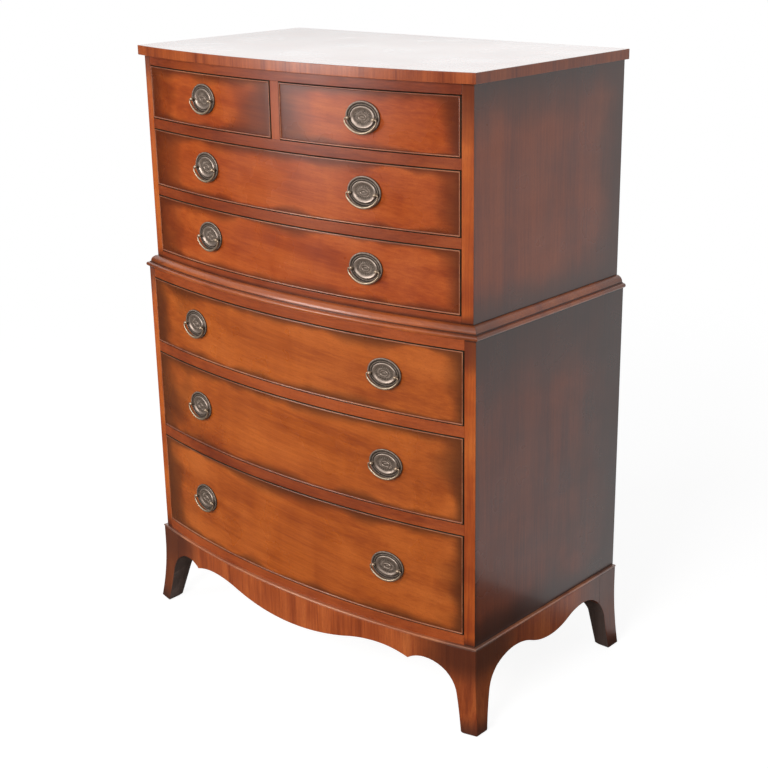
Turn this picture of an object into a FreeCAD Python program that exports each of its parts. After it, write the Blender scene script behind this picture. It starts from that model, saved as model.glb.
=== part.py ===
"""Bow front chest of drawers: a four-drawer upper case on a three-drawer lower case, on splayed feet.

Millimetres, +Z up, front towards -Y, origin on the floor at the centre of the whole outline.
Every bowed surface shares one upright bow axis behind the chest, so fronts, rails, mouldings
and aprons are concentric and differ only in radius.
"""
import FreeCAD, Part
import math
import os

from FreeCAD import Vector

# ---------------------------------------------------------------- driving dimensions
lower_width = 930.0           # outside of the lower case, side to side
lower_side_depth = 491.5      # back to front corner of the lower case
bow_rise = 56.0               # how far the middle of the front stands out past its corners
waist_set_in = 16.25          # upper case inside the lower case, at the sides and at the front

base_height = 190.0           # floor to the underside of the lower case
waist_height = 25.0           # waist moulding
top_thickness = 20.5

# openings and rails, from the bottom up
lower_bottom_rail = 21.5
bottom_opening = 215.0
lower_rail = 23.0
middle_opening = 179.0
third_opening = 149.0
lower_top_rail = 20.5
upper_bottom_rail = 14.5
fourth_opening = 126.5
upper_rail = 21.0
fifth_opening = 123.5
short_opening = 112.5
upper_top_rail = 20.0

lower_side_thickness = 23.0
upper_side_thickness = 24.0
divider_thickness = 23.0      # upright between the two short drawers
rail_end_depth = 45.0         # front rails, from front corner to straight back edge
tenon_length = 10.0
tenon_width = 26.0
tenon_thickness = 10.0
tenon_share = 0.6             # most that a tenon takes of a thin rail
tenon_set_back = 11.0         # cheek of the side left in front of a tenon

top_side_overhang = 10.5
top_front_overhang = 11.5
top_edge_round = 1.2
top_screw_inset = 60.0        # from the front and back rails of the highest frame

back_thickness = 8.0
back_lap = 10.0               # how far a back panel laps into the rebate of a side
back_fit = 0.5                # play of a back panel in its rebates

runner_width = 44.0
centre_runner_width = 60.0    # under the two short drawers
back_rail_width = 50.0
dust_thickness = 5.0
dust_groove = 7.0

# drawers
drawer_gap = 1.5              # shadow line round each drawer front
runner_play = 0.35            # drawer sides over their runners
front_thickness = 20.0
bead_width = 3.2              # cock bead round each drawer front
bead_proud = 1.5
bead_depth = 7.0
bead_flat = 0.3               # left between the two roundings of a cock bead
drawer_side_thickness = 11.0
drawer_side_drop = 9.0        # drawer sides below the top of their opening
drawer_back_drop = 6.0        # drawer back below the drawer sides
drawer_bottom_thickness = 5.0
drawer_bottom_lift = 9.0      # groove above the lower edge of the drawer side
bottom_groove = 5.0
drawer_back_space = 14.0      # free space behind a closed drawer
dovetail_lap = 0.8            # wood left between the cock bead and the lapped dovetails
dovetail_pitch = 31.0
dovetail_pin = 6.0            # narrow side of a pin
dovetail_slope = 1.0 / 7.0
stop_width = 30.0
stop_depth = 18.0
stop_thickness = 5.0
stop_play = 0.35              # drawer front before it meets its stops
stop_inset = 0.22             # share of the opening between a stop and the side

# handles
upper_handle_x = 220.0
lower_handle_x = 271.5
handle_rise = 4.0             # middle of a plate above the middle of its drawer
plate_width = 78.0
plate_height = 61.0
plate_sheet = 1.4
rim_height = 3.0
rim_width = 4.0
ring_inset = 6.6
ring_width = 2.2
ring_height = 2.5
medallion_width = 51.0
medallion_height = 36.0
medallion_rise = 5.2
seat_play = 0.02              # between metal faces that bear on each other or on the wood
relief_root = 0.5             # overlap of rim, ring and medallion with the sheet they rise from
post_spacing = 59.0
post_drop = 2.2               # posts below the middle of their plate
pivot_proud = 9.2             # bail axis in front of the wood
post_ball_radius = 3.6
post_neck_radius = 2.2
post_play = 0.05              # shank in the plate, the washer and the nut
post_collar_radius = 3.7
post_collar_height = 1.6
post_hole_play = 0.3          # shank in the wood
nut_across_flats = 8.0
nut_height = 4.0
washer_radius = 5.6
washer_thickness = 1.0
thread_end = 3.0              # shank past its nut
bail_pin_radius = 1.6
bail_pin_play = 0.06
bail_pin_past = 0.4           # end of each pin past the inner side of its ball
bail_drop = 26.5              # bail axis to the middle of the rod at the bottom
bail_swell_radius = 2.5       # half the thickness at the bottom of the bail
bail_elbow_radius = 2.5
bail_side_radius = 14.0       # end curves of the half oval below the elbows
bail_shoulder_play = 0.6      # rod clear of the post balls, along the axis
bail_side_steps = 3           # sections along each end curve
bail_main_steps = 12          # sections along the long curve between them

# waist moulding, from its top edge down
ovolo_ledge = 1.4             # flat between the upper case and the quarter round
ovolo_foot = 3.2              # end of the quarter round, inside the face of the lower case
ovolo_height = 12.4
ovolo_bulge = 2.9
quirk_depth = 1.1             # dark step under the quarter round
fillet_reach = 0.9            # small square fillet, inside the face of the lower case
fillet_height = 1.6
waist_bead_radius = 4.6
waist_bead_reach = 0.9        # centre of the bead in front of the lower case

# base
base_proud = 7.2              # bead of the base outside the lower case
base_bead_height = 5.0
base_bead_relief = 1.0        # bead proud of the apron below it
base_bead_flat = 0.2          # left between the two roundings of the bead
base_bead_root = 2.0          # bead's hold in the apron
apron_thickness = 20.0
foot_front_width = 62.7       # joint between foot and front apron, from the side of the base
front_foot_side_width = 68.0  # joint between front foot and side apron, from the front corner
back_foot_side_width = 59.7
foot_tip = 35.5               # square end of each foot
foot_splay = 14.0             # outward sweep of each foot
splay_height = 150.0          # where the sweep begins
leg_height = 80.0             # straight inner edge of a foot, seen from the front
leg_lean = 17.0
front_arch_reach = 115.0      # arch, from the side of the base
front_arch_height = 143.6
cusp_reach = 152.5
cusp_height = 131.4
front_swell_reach = 226.0     # crest between the cusp and the middle drop
front_swell_height = 145.4
front_drop_height = 113.4     # lowest point, in the middle
front_drop_share = 0.305      # where crest and drop meet, along the line between them
side_leg_height = 82.0        # the same, seen from the side
side_leg_lean = 20.4
side_turn_height = 122.0
side_turn_lean = 44.1
side_turn_bulge = 3.7
side_arch_height = 144.8
front_arch_depth = 133.0      # arch behind the front foot, from the front corner
back_leg_height = 85.0
back_leg_lean = 7.5
back_arch_depth = 121.5       # arch before the back foot, from the back
side_drop_height = 117.2
side_drop_share = 0.45
back_apron_thickness = 18.0
back_apron_edge = 122.0       # height of its straight lower edge
back_turn_reach = 50.0        # round turn from the back apron into the back foot
glue_block_size = 28.0
glue_block_height = 42.0

# screws
screw_head_radius = 4.0
screw_head_height = 2.6
screw_shank_radius = 1.9
screw_length = 26.0
back_screw_spacing = 150.0
back_screw_inset = 40.0       # from the ends of a back panel
moulding_screw_inset = 90.0   # from the front and back rails of the frame below the moulding

tolerance = 1e-3              # for telling edges apart

# ---------------------------------------------------------------- places worked out from them
lower_half = lower_width / 2
bow_radius = (lower_half ** 2 + bow_rise ** 2) / (2 * bow_rise)
base_radius = bow_radius + base_proud
overall_depth = lower_side_depth + bow_rise + base_proud
back_y = overall_depth / 2
bow_y = back_y - lower_side_depth - bow_rise + bow_radius

upper_half = lower_half - waist_set_in
upper_radius = bow_radius - waist_set_in
top_half = upper_half + top_side_overhang
top_radius = upper_radius + top_front_overhang
base_half = lower_half + base_proud

lower_inner = lower_half - lower_side_thickness
upper_inner = upper_half - upper_side_thickness

lower_levels = [base_height]
for step in (lower_bottom_rail, bottom_opening, lower_rail, middle_opening, lower_rail,
             third_opening, lower_top_rail):
    lower_levels.append(lower_levels[-1] + step)
lower_top = lower_levels[-1]
waist_top = lower_top + waist_height
upper_levels = [waist_top]
for step in (upper_bottom_rail, fourth_opening, upper_rail, fifth_opening, upper_rail,
             short_opening, upper_top_rail):
    upper_levels.append(upper_levels[-1] + step)
upper_top = upper_levels[-1]
overall_height = upper_top + top_thickness


def front_y(radius, x):
    """Y of the bowed surface of that radius, at a distance x from the middle."""
    return bow_y - math.sqrt(radius ** 2 - x ** 2)


upper_corner_y = front_y(upper_radius, upper_half)

# ---------------------------------------------------------------- helpers


def block(x0, x1, y0, y1, z0, z1):
    return Part.makeBox(x1 - x0, y1 - y0, z1 - z0, Vector(x0, y0, z0))


def arc_edge(radius, x0, x1, z):
    """The stretch of a bow-concentric circle between two values of x."""
    middle = (x0 + x1) / 2
    ends = [Vector(x, front_y(radius, x), z) for x in (x0, middle, x1)]
    return Part.Arc(*ends).toShape()


def prism(edges, direction):
    return Part.Face(Part.Wire(edges)).extrude(direction)


def bow_board(radius, x0, x1, y1, z0, z1):
    """A board with a bowed front edge and a straight back edge."""
    front = arc_edge(radius, x0, x1, z0)
    right = Vector(x1, front_y(radius, x1), z0)
    left = Vector(x0, front_y(radius, x0), z0)
    back_right, back_left = Vector(x1, y1, z0), Vector(x0, y1, z0)
    edges = [front, Part.makeLine(right, back_right), Part.makeLine(back_right, back_left),
             Part.makeLine(back_left, left)]
    return prism(edges, Vector(0, 0, z1 - z0))


def bow_shell(outer, inner, x0, x1, z0, z1):
    """A bowed board of even thickness, with square ends across the chest."""
    front = arc_edge(outer, x0, x1, z0)
    back = arc_edge(inner, x0, x1, z0)
    ends = [Part.makeLine(Vector(x, front_y(outer, x), z0), Vector(x, front_y(inner, x), z0))
            for x in (x1, x0)]
    return prism([front, ends[0], back, ends[1]], Vector(0, 0, z1 - z0))


def outline_edges(run, place):
    """Edges of an outline: a stretch of two points is a line and one of three is an arc."""
    edges = []
    for stretch in run:
        places = [place(*pair) for pair in stretch]
        straight = len(places) == 2
        edges.append(Part.makeLine(*places) if straight else Part.Arc(*places).toShape())
    return edges


def bulged(a, b, bulge):
    """Arc from a to b that stands out to the left of the way from a to b."""
    across, up = b[0] - a[0], b[1] - a[1]
    length = math.hypot(across, up)
    middle = ((a[0] + b[0]) / 2 - bulge * up / length, (a[1] + b[1]) / 2 + bulge * across / length)
    return (a, middle, b)


def level_arc(a, b):
    """Arc from a to b that is level at a."""
    across, up = b[0] - a[0], b[1] - a[1]
    radius = (across ** 2 + up ** 2) / (2 * up)
    turn = math.atan2(abs(across), abs(radius) - abs(up)) / 2
    middle = (a[0] + math.copysign(abs(radius) * math.sin(turn), across),
              a[1] + math.copysign(abs(radius) * (1 - math.cos(turn)), up))
    return (a, middle, b)


def ogee(a, b, share):
    """Two arcs from a to b, level at both ends, that meet part of the way along."""
    meeting = (a[0] + share * (b[0] - a[0]), a[1] + share * (b[1] - a[1]))
    return [level_arc(a, meeting), flipped(level_arc(b, meeting))]


def flipped(stretch):
    return tuple(reversed(stretch))


def around_bow(edges, x_reach, radius):
    """Turns a section, drawn in the plane x = 0, about the bow axis."""
    sweep = 2 * math.degrees(math.asin(x_reach / radius))
    face = Part.Face(Part.Wire(edges))
    face.rotate(Vector(0, bow_y, 0), Vector(0, 0, 1), -sweep / 2)
    return face.revolve(Vector(0, bow_y, 0), Vector(0, 0, 1), sweep)


def fused(shapes):
    whole = shapes[0].fuse(shapes[1:]) if len(shapes) > 1 else shapes[0]
    return whole.removeSplitter()


def cut(shape, tools):
    for tool in tools:
        shape = shape.cut(tool)
    return shape


def mirrored(shape):
    return shape.mirror(Vector(0, 0, 0), Vector(1, 0, 0))


nodes = {}


def keep(name, shapes):
    """Files separate solids under one node name."""
    found = []
    for shape in shapes:
        found.extend(shape.Solids)
    nodes[name] = found


# ---------------------------------------------------------------- screws


def screw(head, direction):
    """A countersunk wood screw, its head flush at a point, pointing along a direction."""
    cone = Part.makeCone(screw_head_radius, screw_shank_radius, screw_head_height, head, direction)
    shank = Part.makeCylinder(screw_shank_radius, screw_length, head, direction)
    return fused([cone, shank])


# ---------------------------------------------------------------- case carcasses


def tenon(side, half_inner, corner_y, z0, z1):
    """The stub of a front rail that is let into one side; side is -1 or +1."""
    middle = (z0 + z1) / 2
    thickness = min(tenon_thickness, tenon_share * (z1 - z0))
    x0, x1 = sorted((side * half_inner, side * (half_inner + tenon_length)))
    y0 = corner_y + tenon_set_back
    return block(x0, x1, y0, y0 + tenon_width, middle - thickness / 2, middle + thickness / 2)


def front_rail(radius, half_inner, corner_y, z0, z1):
    board = bow_board(radius, -half_inner, half_inner, corner_y + rail_end_depth, z0, z1)
    stubs = [tenon(side, half_inner, corner_y, z0, z1) for side in (-1, 1)]
    return fused([board] + stubs)


def dust_board(half_inner, corner_y, z0, z1):
    """Thin panel let into the front rail, the runners and the back rail of one frame."""
    middle = (z0 + z1) / 2
    half = half_inner - runner_width + dust_groove
    y0 = corner_y + rail_end_depth - dust_groove
    y1 = back_y - back_thickness - back_rail_width + dust_groove
    return block(-half, half, y0, y1, middle - dust_thickness / 2, middle + dust_thickness / 2)


def runner_frame(half_inner, corner_y, z0, z1):
    """Two side runners and the back rail of one frame."""
    y0 = corner_y + rail_end_depth
    y1 = back_y - back_thickness
    left = block(-half_inner, -half_inner + runner_width, y0, y1, z0, z1)
    right = mirrored(left)
    inner = half_inner - runner_width
    return [left, right, block(-inner, inner, y1 - back_rail_width, y1, z0, z1)]


def case_side(radius, half_outer, thickness, z0, z1, rails, corner_y):
    """Right-hand side: a board with a bowed front end, a rebate for the back and rail mortises."""
    inner = half_outer - thickness
    board = bow_board(radius, inner, half_outer, back_y, z0, z1)
    rebate = block(inner, inner + back_lap + back_fit, back_y - back_thickness, back_y, z0, z1)
    mortises = [tenon(1, inner, corner_y, low, high) for low, high in rails]
    return cut(board, [rebate] + mortises)


def build_case(radius, half_outer, thickness, levels, dust_count):
    """One case: sides, front rails, runner frames, dust boards and back panel."""
    corner_y = front_y(radius, half_outer)
    inner = half_outer - thickness
    rails = [(levels[i], levels[i + 1]) for i in range(0, len(levels), 2)]
    right = case_side(radius, half_outer, thickness, levels[0], levels[-1], rails, corner_y)
    fronts = [front_rail(radius, inner, corner_y, low, high) for low, high in rails]
    frames = [runner_frame(inner, corner_y, low, high) for low, high in rails]
    dusts = [dust_board(inner, corner_y, low, high) for low, high in rails[:dust_count]]
    for i, dust in enumerate(dusts):
        fronts[i] = fronts[i].cut(dust)
        frames[i] = [piece.cut(dust) for piece in frames[i]]
    lap = inner + back_lap
    back = block(-lap, lap, back_y - back_thickness, back_y, levels[0], levels[-1])
    return right, fronts, frames, dusts, back


lower = build_case(bow_radius, lower_half, lower_side_thickness, lower_levels, 3)
upper = build_case(upper_radius, upper_half, upper_side_thickness, upper_levels, 3)


def back_screws(half_inner, z0, z1):
    """Screws down both edges of a back panel, into the rebates of the sides."""
    first, last = z0 + back_screw_inset, z1 - back_screw_inset
    count = max(2, 1 + round((last - first) / back_screw_spacing))
    found = []
    for i in range(count):
        z = first + i * (last - first) / (count - 1)
        for x in (-half_inner - back_lap / 2, half_inner + back_lap / 2):
            found.append(screw(Vector(x, back_y, z), Vector(0, -1, 0)))
    return found


lower_back_screws = back_screws(lower_inner, lower_levels[0], lower_top)
upper_back_screws = back_screws(upper_inner, upper_levels[0], upper_top)

# the upright between the two short drawers: a bowed stile and a thin board behind it
divider_low, divider_high = upper_levels[5], upper_levels[6]
stile_half = divider_thickness / 2
stile = bow_board(upper_radius, -stile_half, stile_half, upper_corner_y + rail_end_depth,
                  divider_low, divider_high)
partition = block(-stile_half + drawer_gap, stile_half - drawer_gap,
                  upper_corner_y + rail_end_depth, back_y - back_thickness,
                  divider_low, divider_high)

# the frame under the short drawers also has a runner in the middle
upper_frames = upper[2]
middle_frame = upper_frames[2]
upper_dusts = upper[3]
runner_y0 = upper_corner_y + rail_end_depth
runner_y1 = back_y - back_thickness - back_rail_width
centre_half = centre_runner_width / 2
middle_runner = block(-centre_half, centre_half, runner_y0, runner_y1,
                      upper_levels[4], upper_levels[5])
split_dust = upper_dusts[2]
dust_span = block(-centre_half + dust_groove, centre_half - dust_groove,
                  split_dust.BoundBox.YMin, split_dust.BoundBox.YMax,
                  split_dust.BoundBox.ZMin, split_dust.BoundBox.ZMax)
half_dusts = split_dust.cut(dust_span)
middle_runner = middle_runner.cut(half_dusts)
middle_frame.append(middle_runner)



def frame_screws(reach, inset, corner_y, z):
    """Four screws up through the side runners of a frame, into what lies on it."""
    ys = (corner_y + rail_end_depth + inset, back_y - back_thickness - inset)
    return [screw(Vector(x, y, z), Vector(0, 0, 1)) for x in (-reach, reach) for y in ys]


top_screws = frame_screws(upper_inner - runner_width / 2, top_screw_inset, upper_corner_y,
                          upper_levels[6])
upper_frames[3] = [cut(piece, top_screws) for piece in upper_frames[3]]
waist_inner = -(waist_set_in + upper_side_thickness)
moulding_screws = frame_screws((lower_half + waist_inner + lower_inner) / 2, moulding_screw_inset,
                               front_y(bow_radius, lower_half), lower_levels[6])
lower_frames = lower[2]
lower_frames[3] = [cut(piece, moulding_screws) for piece in lower_frames[3]]

# ---------------------------------------------------------------- top


def round_long_edges(shape, radius, picked):
    edges = [edge for edge in shape.Edges if picked(edge)]
    return shape.makeFillet(radius, edges)


def level_and_not_at_back(edge):
    box = edge.BoundBox
    return box.ZLength < tolerance and box.YMin < back_y - tolerance


top = bow_board(top_radius, -top_half, top_half, back_y, upper_top, overall_height)
top = round_long_edges(top, top_edge_round, level_and_not_at_back)
top = cut(top, top_screws)

# ---------------------------------------------------------------- waist moulding


def waist_section(place):
    """Edges of the moulding's section; place turns (outward of the lower case, height) into a point."""
    ovolo_top = (ovolo_ledge - waist_set_in, waist_height)
    ovolo_end = (-ovolo_foot, ovolo_height)
    quirk_end = (-ovolo_foot, ovolo_height - quirk_depth)
    fillet_top = (-fillet_reach, ovolo_height - quirk_depth)
    fillet_end = (-fillet_reach, ovolo_height - quirk_depth - fillet_height)
    bead_top = (waist_bead_reach, fillet_end[1])
    bead_nose = (waist_bead_reach + waist_bead_radius, bead_top[1] - waist_bead_radius)
    bead_foot = (waist_bead_reach, bead_top[1] - 2 * waist_bead_radius)
    quarter_bulge = waist_bead_radius * (1 - math.cos(math.pi / 4))
    run = [((0.0, 0.0), (waist_inner, 0.0)), ((waist_inner, 0.0), (waist_inner, waist_height)),
           ((waist_inner, waist_height), ovolo_top), bulged(ovolo_top, ovolo_end, ovolo_bulge),
           (ovolo_end, quirk_end), (quirk_end, fillet_top), (fillet_top, fillet_end),
           (fillet_end, bead_top), bulged(bead_top, bead_nose, quarter_bulge),
           bulged(bead_nose, bead_foot, quarter_bulge),
           (bead_foot, (0.0, bead_foot[1])), ((0.0, bead_foot[1]), (0.0, 0.0))]
    return outline_edges(run, place)


def on_front_section(outward, z):
    return Vector(0, bow_y - (bow_radius + outward), lower_top + z)


def on_side_section(outward, z):
    return Vector(lower_half + outward, back_y, lower_top + z)


def mitre_wedge():
    """Everything on the side's part of the right-hand mitre, as a tall wedge."""
    far, near = -2 * waist_inner, 1.5 * waist_inner
    outer = Vector(lower_half + far, front_y(bow_radius + far, lower_half + far), 0)
    inner = Vector(lower_half + near, front_y(bow_radius + near, lower_half + near), 0)
    back_inner = Vector(inner.x, back_y + far, 0)
    back_outer = Vector(outer.x, back_y + far, 0)
    corners = [outer, inner, back_inner, back_outer, outer]
    return Part.Face(Part.makePolygon(corners)).extrude(Vector(0, 0, overall_height))


wedge = mitre_wedge()
front_waist = around_bow(waist_section(on_front_section), lower_half - waist_inner, bow_radius)
front_waist = cut(front_waist, [wedge, mirrored(wedge)])
side_waist = prism(waist_section(on_side_section), Vector(0, -overall_depth, 0)).common(wedge)
waist_back_rail = block(-lower_half - waist_inner, lower_half + waist_inner,
                        back_y - back_rail_width, back_y, lower_top, waist_top)

# ---------------------------------------------------------------- base
base_corner_y = front_y(base_radius, base_half)
apron_radius = base_radius - base_bead_relief
apron_half = base_half - base_bead_relief
front_joint_x = base_half - foot_front_width
front_joint_y = base_corner_y + front_foot_side_width
back_joint_y = back_y - back_foot_side_width
sweep_radius = (splay_height ** 2 + foot_splay ** 2) / (2 * foot_splay)


def flare(reach, sign=1):
    """Outer line of a foot: straight down, then an arc that sweeps out to the floor."""
    half_angle = math.asin(splay_height / sweep_radius) / 2
    middle = (reach + sweep_radius * (1 - math.cos(half_angle)),
              splay_height - sweep_radius * math.sin(half_angle))
    stretches = [((reach, base_height), (reach, splay_height)),
                 ((reach, splay_height), middle, (reach + foot_splay, 0.0))]
    return [tuple((sign * x, z) for x, z in stretch) for stretch in stretches]


def swept_side():
    """A solid through the chest whose two sides flare like the feet."""
    right, left = flare(apron_half), flare(apron_half, -1)
    run = right + [(right[-1][-1], left[-1][-1])]
    run += [flipped(stretch) for stretch in reversed(left)]
    run.append((left[0][0], right[0][0]))
    edges = outline_edges(run, lambda x, z: Vector(x, -overall_depth, z))
    return Part.Face(Part.Wire(edges)).extrude(Vector(0, 2 * overall_depth, 0))


def swept_front():
    """A solid of revolution about the bow axis whose outer face flares like the feet."""
    inner = apron_radius - 2 * overall_depth
    face = flare(apron_radius)
    run = [((inner, 0.0), (inner, base_height)), ((inner, base_height), face[0][0])] + face
    run.append((face[-1][-1], (inner, 0.0)))
    edges = outline_edges(run, lambda radius, z: Vector(0, bow_y - radius, z))
    return around_bow(edges, 0.75 * lower_width, bow_radius)


def air_below(run, place, direction):
    """Solid of the air under an outline, which is closed along the floor."""
    edges = outline_edges(run + [(run[-1][-1], run[0][0])], place)
    return Part.Face(Part.Wire(edges)).extrude(direction)


def both_halves(half, middle=()):
    """Outline from one half and its mirror image, with what lies between them."""
    other = [tuple((-x, z) for x, z in flipped(stretch)) for stretch in reversed(half)]
    return half + list(middle) + other


foot_inside = apron_half + foot_splay - foot_tip
leg_top = (foot_inside - leg_lean, leg_height)


def front_opening():
    """The air under the front: foot, arch, cusp, crest and middle drop, on both sides."""
    arch = (base_half - front_arch_reach, front_arch_height)
    cusp = (base_half - cusp_reach, cusp_height)
    crest = (base_half - front_swell_reach, front_swell_height)
    half = [((foot_inside, 0.0), leg_top), flipped(level_arc(arch, leg_top)),
            level_arc(arch, cusp), flipped(level_arc(crest, cusp))]
    half += ogee(crest, (0.0, front_drop_height), front_drop_share)
    return air_below(both_halves(half), lambda x, z: Vector(x, -overall_depth, z),
                     Vector(0, overall_depth, 0))


def side_opening():
    """The air under both sides: front foot, arch, middle drop, arch and back foot."""
    tip = base_corner_y - foot_splay + base_bead_relief + foot_tip
    leg = (tip + side_leg_lean, side_leg_height)
    turn = (tip + side_turn_lean, side_turn_height)
    arch = (base_corner_y + front_arch_depth, side_arch_height)
    back_tip = back_y - foot_tip
    back_leg = (back_tip - back_leg_lean, back_leg_height)
    back_arch = (back_y - back_arch_depth, side_arch_height)
    drop = ((arch[0] + back_arch[0]) / 2, side_drop_height)
    run = [((tip, 0.0), leg), bulged(leg, turn, side_turn_bulge), flipped(level_arc(arch, turn))]
    run += ogee(arch, drop, side_drop_share) + ogee(drop, back_arch, 1 - side_drop_share)
    run += [level_arc(back_arch, back_leg), (back_leg, (back_tip, 0.0))]
    return air_below(run, lambda y, z: Vector(-lower_width, y, z), Vector(2 * lower_width, 0, 0))


def back_opening():
    """The air under the back: a straight edge with round turns into the back feet."""
    edge_end = (leg_top[0] - back_turn_reach, back_apron_edge)
    half = [((foot_inside, 0.0), leg_top), flipped(level_arc(edge_end, leg_top))]
    edge = (edge_end, (-edge_end[0], back_apron_edge))
    return air_below(both_halves(half, [edge]), lambda x, z: Vector(x, 0.0, z),
                     Vector(0, overall_depth, 0))


under_front = front_opening()
under_side = side_opening()
under_back = back_opening()
bead_low = base_height - base_bead_height


def bead_ring():
    """The rounded bead that runs along the top of the base, front and sides."""
    outline = bow_board(base_radius, -base_half, base_half, back_y, bead_low, base_height)
    inner_half = apron_half - base_bead_root
    inside = bow_board(apron_radius - base_bead_root, -inner_half, inner_half,
                       back_y + base_bead_root, bead_low, base_height)
    ring = outline.cut(inside)

    def on_outside(edge):
        box = edge.BoundBox
        level = box.ZLength < tolerance
        middle = edge.valueAt((edge.FirstParameter + edge.LastParameter) / 2)
        on_side = abs(abs(middle.x) - base_half) < tolerance and box.XLength < tolerance
        on_front = abs(math.hypot(middle.x, middle.y - bow_y) - base_radius) < tolerance
        return level and (on_side or on_front)

    return round_long_edges(ring, (base_bead_height - base_bead_flat) / 2, on_outside)


bead = bead_ring()
front_apron = bow_shell(apron_radius, apron_radius - apron_thickness, -front_joint_x,
                        front_joint_x, 0.0, base_height).cut(under_front)
front_apron = fused([front_apron, bead.common(
    block(-front_joint_x, front_joint_x, -overall_depth, 0.0, bead_low, base_height))])

side_apron = block(apron_half - apron_thickness, apron_half, front_joint_y, back_joint_y,
                   0.0, base_height).cut(under_side)
side_apron = fused([side_apron, bead.common(
    block(0.0, lower_width, front_joint_y, back_joint_y, bead_low, base_height))])

foot_bounds = swept_side().common(swept_front())


def foot(y0, y1, opening):
    """A right-hand foot between two values of y, sawn to its front and side outlines."""
    post = block(front_joint_x, lower_width, y0, y1, 0.0, base_height)
    shaped = cut(foot_bounds.common(post), [opening, under_side])
    return fused([shaped, bead.common(post)])


front_foot = foot(-overall_depth, front_joint_y, under_front)
back_foot = foot(back_joint_y, back_y, under_back)
back_apron = block(-front_joint_x, front_joint_x, back_y - back_apron_thickness, back_y,
                   0.0, base_height).cut(under_back)


def glue_blocks():
    """Blocks in the corners between each foot and the aprons beside it."""
    z0, z1 = base_height - glue_block_height, base_height
    size = glue_block_size
    front_inside = front_y(apron_radius - apron_thickness, front_joint_x)
    found = [bow_board(apron_radius - apron_thickness, front_joint_x - size, front_joint_x,
                       front_inside + size, z0, z1),
             block(apron_half - apron_thickness - size, apron_half - apron_thickness,
                   front_joint_y, front_joint_y + size, z0, z1),
             block(apron_half - apron_thickness - size, apron_half - apron_thickness,
                   back_joint_y - size, back_joint_y, z0, z1),
             block(front_joint_x - size, front_joint_x, back_y - back_apron_thickness - size,
                   back_y - back_apron_thickness, z0, z1)]
    return found + [mirrored(piece) for piece in found]


# ---------------------------------------------------------------- handles


def oval(width, height, y):
    """Upright ellipse at a distance in front of the wood."""
    ellipse = Part.Ellipse(Vector(0, -y, 0), width / 2, height / 2)
    ellipse.Axis = Vector(0, -1, 0)
    if abs(ellipse.XAxis.x) < 0.5:
        ellipse.rotate(FreeCAD.Placement(Vector(0, 0, 0), Vector(0, 1, 0), 90, Vector(0, -y, 0)))
    return Part.Wire(ellipse.toShape())


def oval_ring(width, height, band, y0, y1):
    outer = Part.Face(oval(width, height, y0)).extrude(Vector(0, y0 - y1, 0))
    inner = Part.Face(oval(width - 2 * band, height - 2 * band, y0)).extrude(Vector(0, y0 - y1, 0))
    return outer.cut(inner)


def back_plate():
    """Stamped oval plate: raised rim, inner ring and a domed medallion.

    The handle's own frame has its origin between the posts, where they meet the wood."""
    sheet = Part.Face(oval(plate_width, plate_height, seat_play)).extrude(Vector(0, -plate_sheet, 0))
    top_of_sheet = seat_play + plate_sheet
    root = top_of_sheet - relief_root
    rim = oval_ring(plate_width, plate_height, rim_width, root, rim_height)
    ring = oval_ring(plate_width - 2 * ring_inset, plate_height - 2 * ring_inset, ring_width,
                     root, ring_height)
    dome = Part.makeSphere(1.0)
    scale = FreeCAD.Matrix()
    scale.A11, scale.A22, scale.A33 = medallion_width / 2, medallion_rise, medallion_height / 2
    dome = dome.transformGeometry(scale)
    half_space = block(-plate_width, plate_width, -plate_width, -root, -plate_width, plate_width)
    plate = sheet.fuse([rim, ring, dome.common(half_space)])
    plate.translate(Vector(0, 0, post_drop))
    holes = [Part.makeCylinder(post_neck_radius + post_play, 4 * rim_height, Vector(x, rim_height, 0),
                               Vector(0, -1, 0)) for x in (-post_spacing / 2, post_spacing / 2)]
    return cut(plate, holes)


nut_reach = post_spacing / 2 + washer_radius
inner_wood_radius = upper_radius - front_thickness
wood_hollow = inner_wood_radius - math.sqrt(inner_wood_radius ** 2 - nut_reach ** 2)
nut_seat = front_thickness + wood_hollow + seat_play


def post(x):
    """Post that carries one end of the bail: ball with a cross hole, collar and threaded shank."""
    seat = rim_height + seat_play
    axis = Vector(0, -1, 0)
    inside = nut_seat + washer_thickness + nut_height + thread_end
    hole_radius = bail_pin_radius + bail_pin_play
    shank = Part.makeCylinder(post_neck_radius, inside + seat, Vector(x, inside, 0), axis)
    collar = Part.makeCylinder(post_collar_radius, post_collar_height, Vector(x, -seat, 0), axis)
    neck = Part.makeCylinder(post_neck_radius, pivot_proud - seat, Vector(x, -seat, 0), axis)
    ball = Part.makeSphere(post_ball_radius, Vector(x, -pivot_proud, 0))
    body = shank.fuse([collar, neck, ball])
    cross = Part.makeCylinder(hole_radius, 4 * post_ball_radius,
                              Vector(x - 2 * post_ball_radius, -pivot_proud, 0), Vector(1, 0, 0))
    return body.cut(cross)


def nut_and_washer(x):
    bore = post_neck_radius + post_play
    hole = Part.makeCylinder(bore, 2 * front_thickness, Vector(x, 0, 0), Vector(0, 1, 0))
    seat = Vector(x, nut_seat, 0)
    washer = Part.makeCylinder(washer_radius, washer_thickness, seat, Vector(0, 1, 0)).cut(hole)
    corner = nut_across_flats / math.sqrt(3)
    y1 = nut_seat + washer_thickness
    points = [Vector(x + corner * math.cos(math.radians(60 * i)), y1,
                     corner * math.sin(math.radians(60 * i))) for i in range(7)]
    nut = Part.Face(Part.makePolygon(points)).extrude(Vector(0, nut_height, 0)).cut(hole)
    return [washer, nut]


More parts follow.
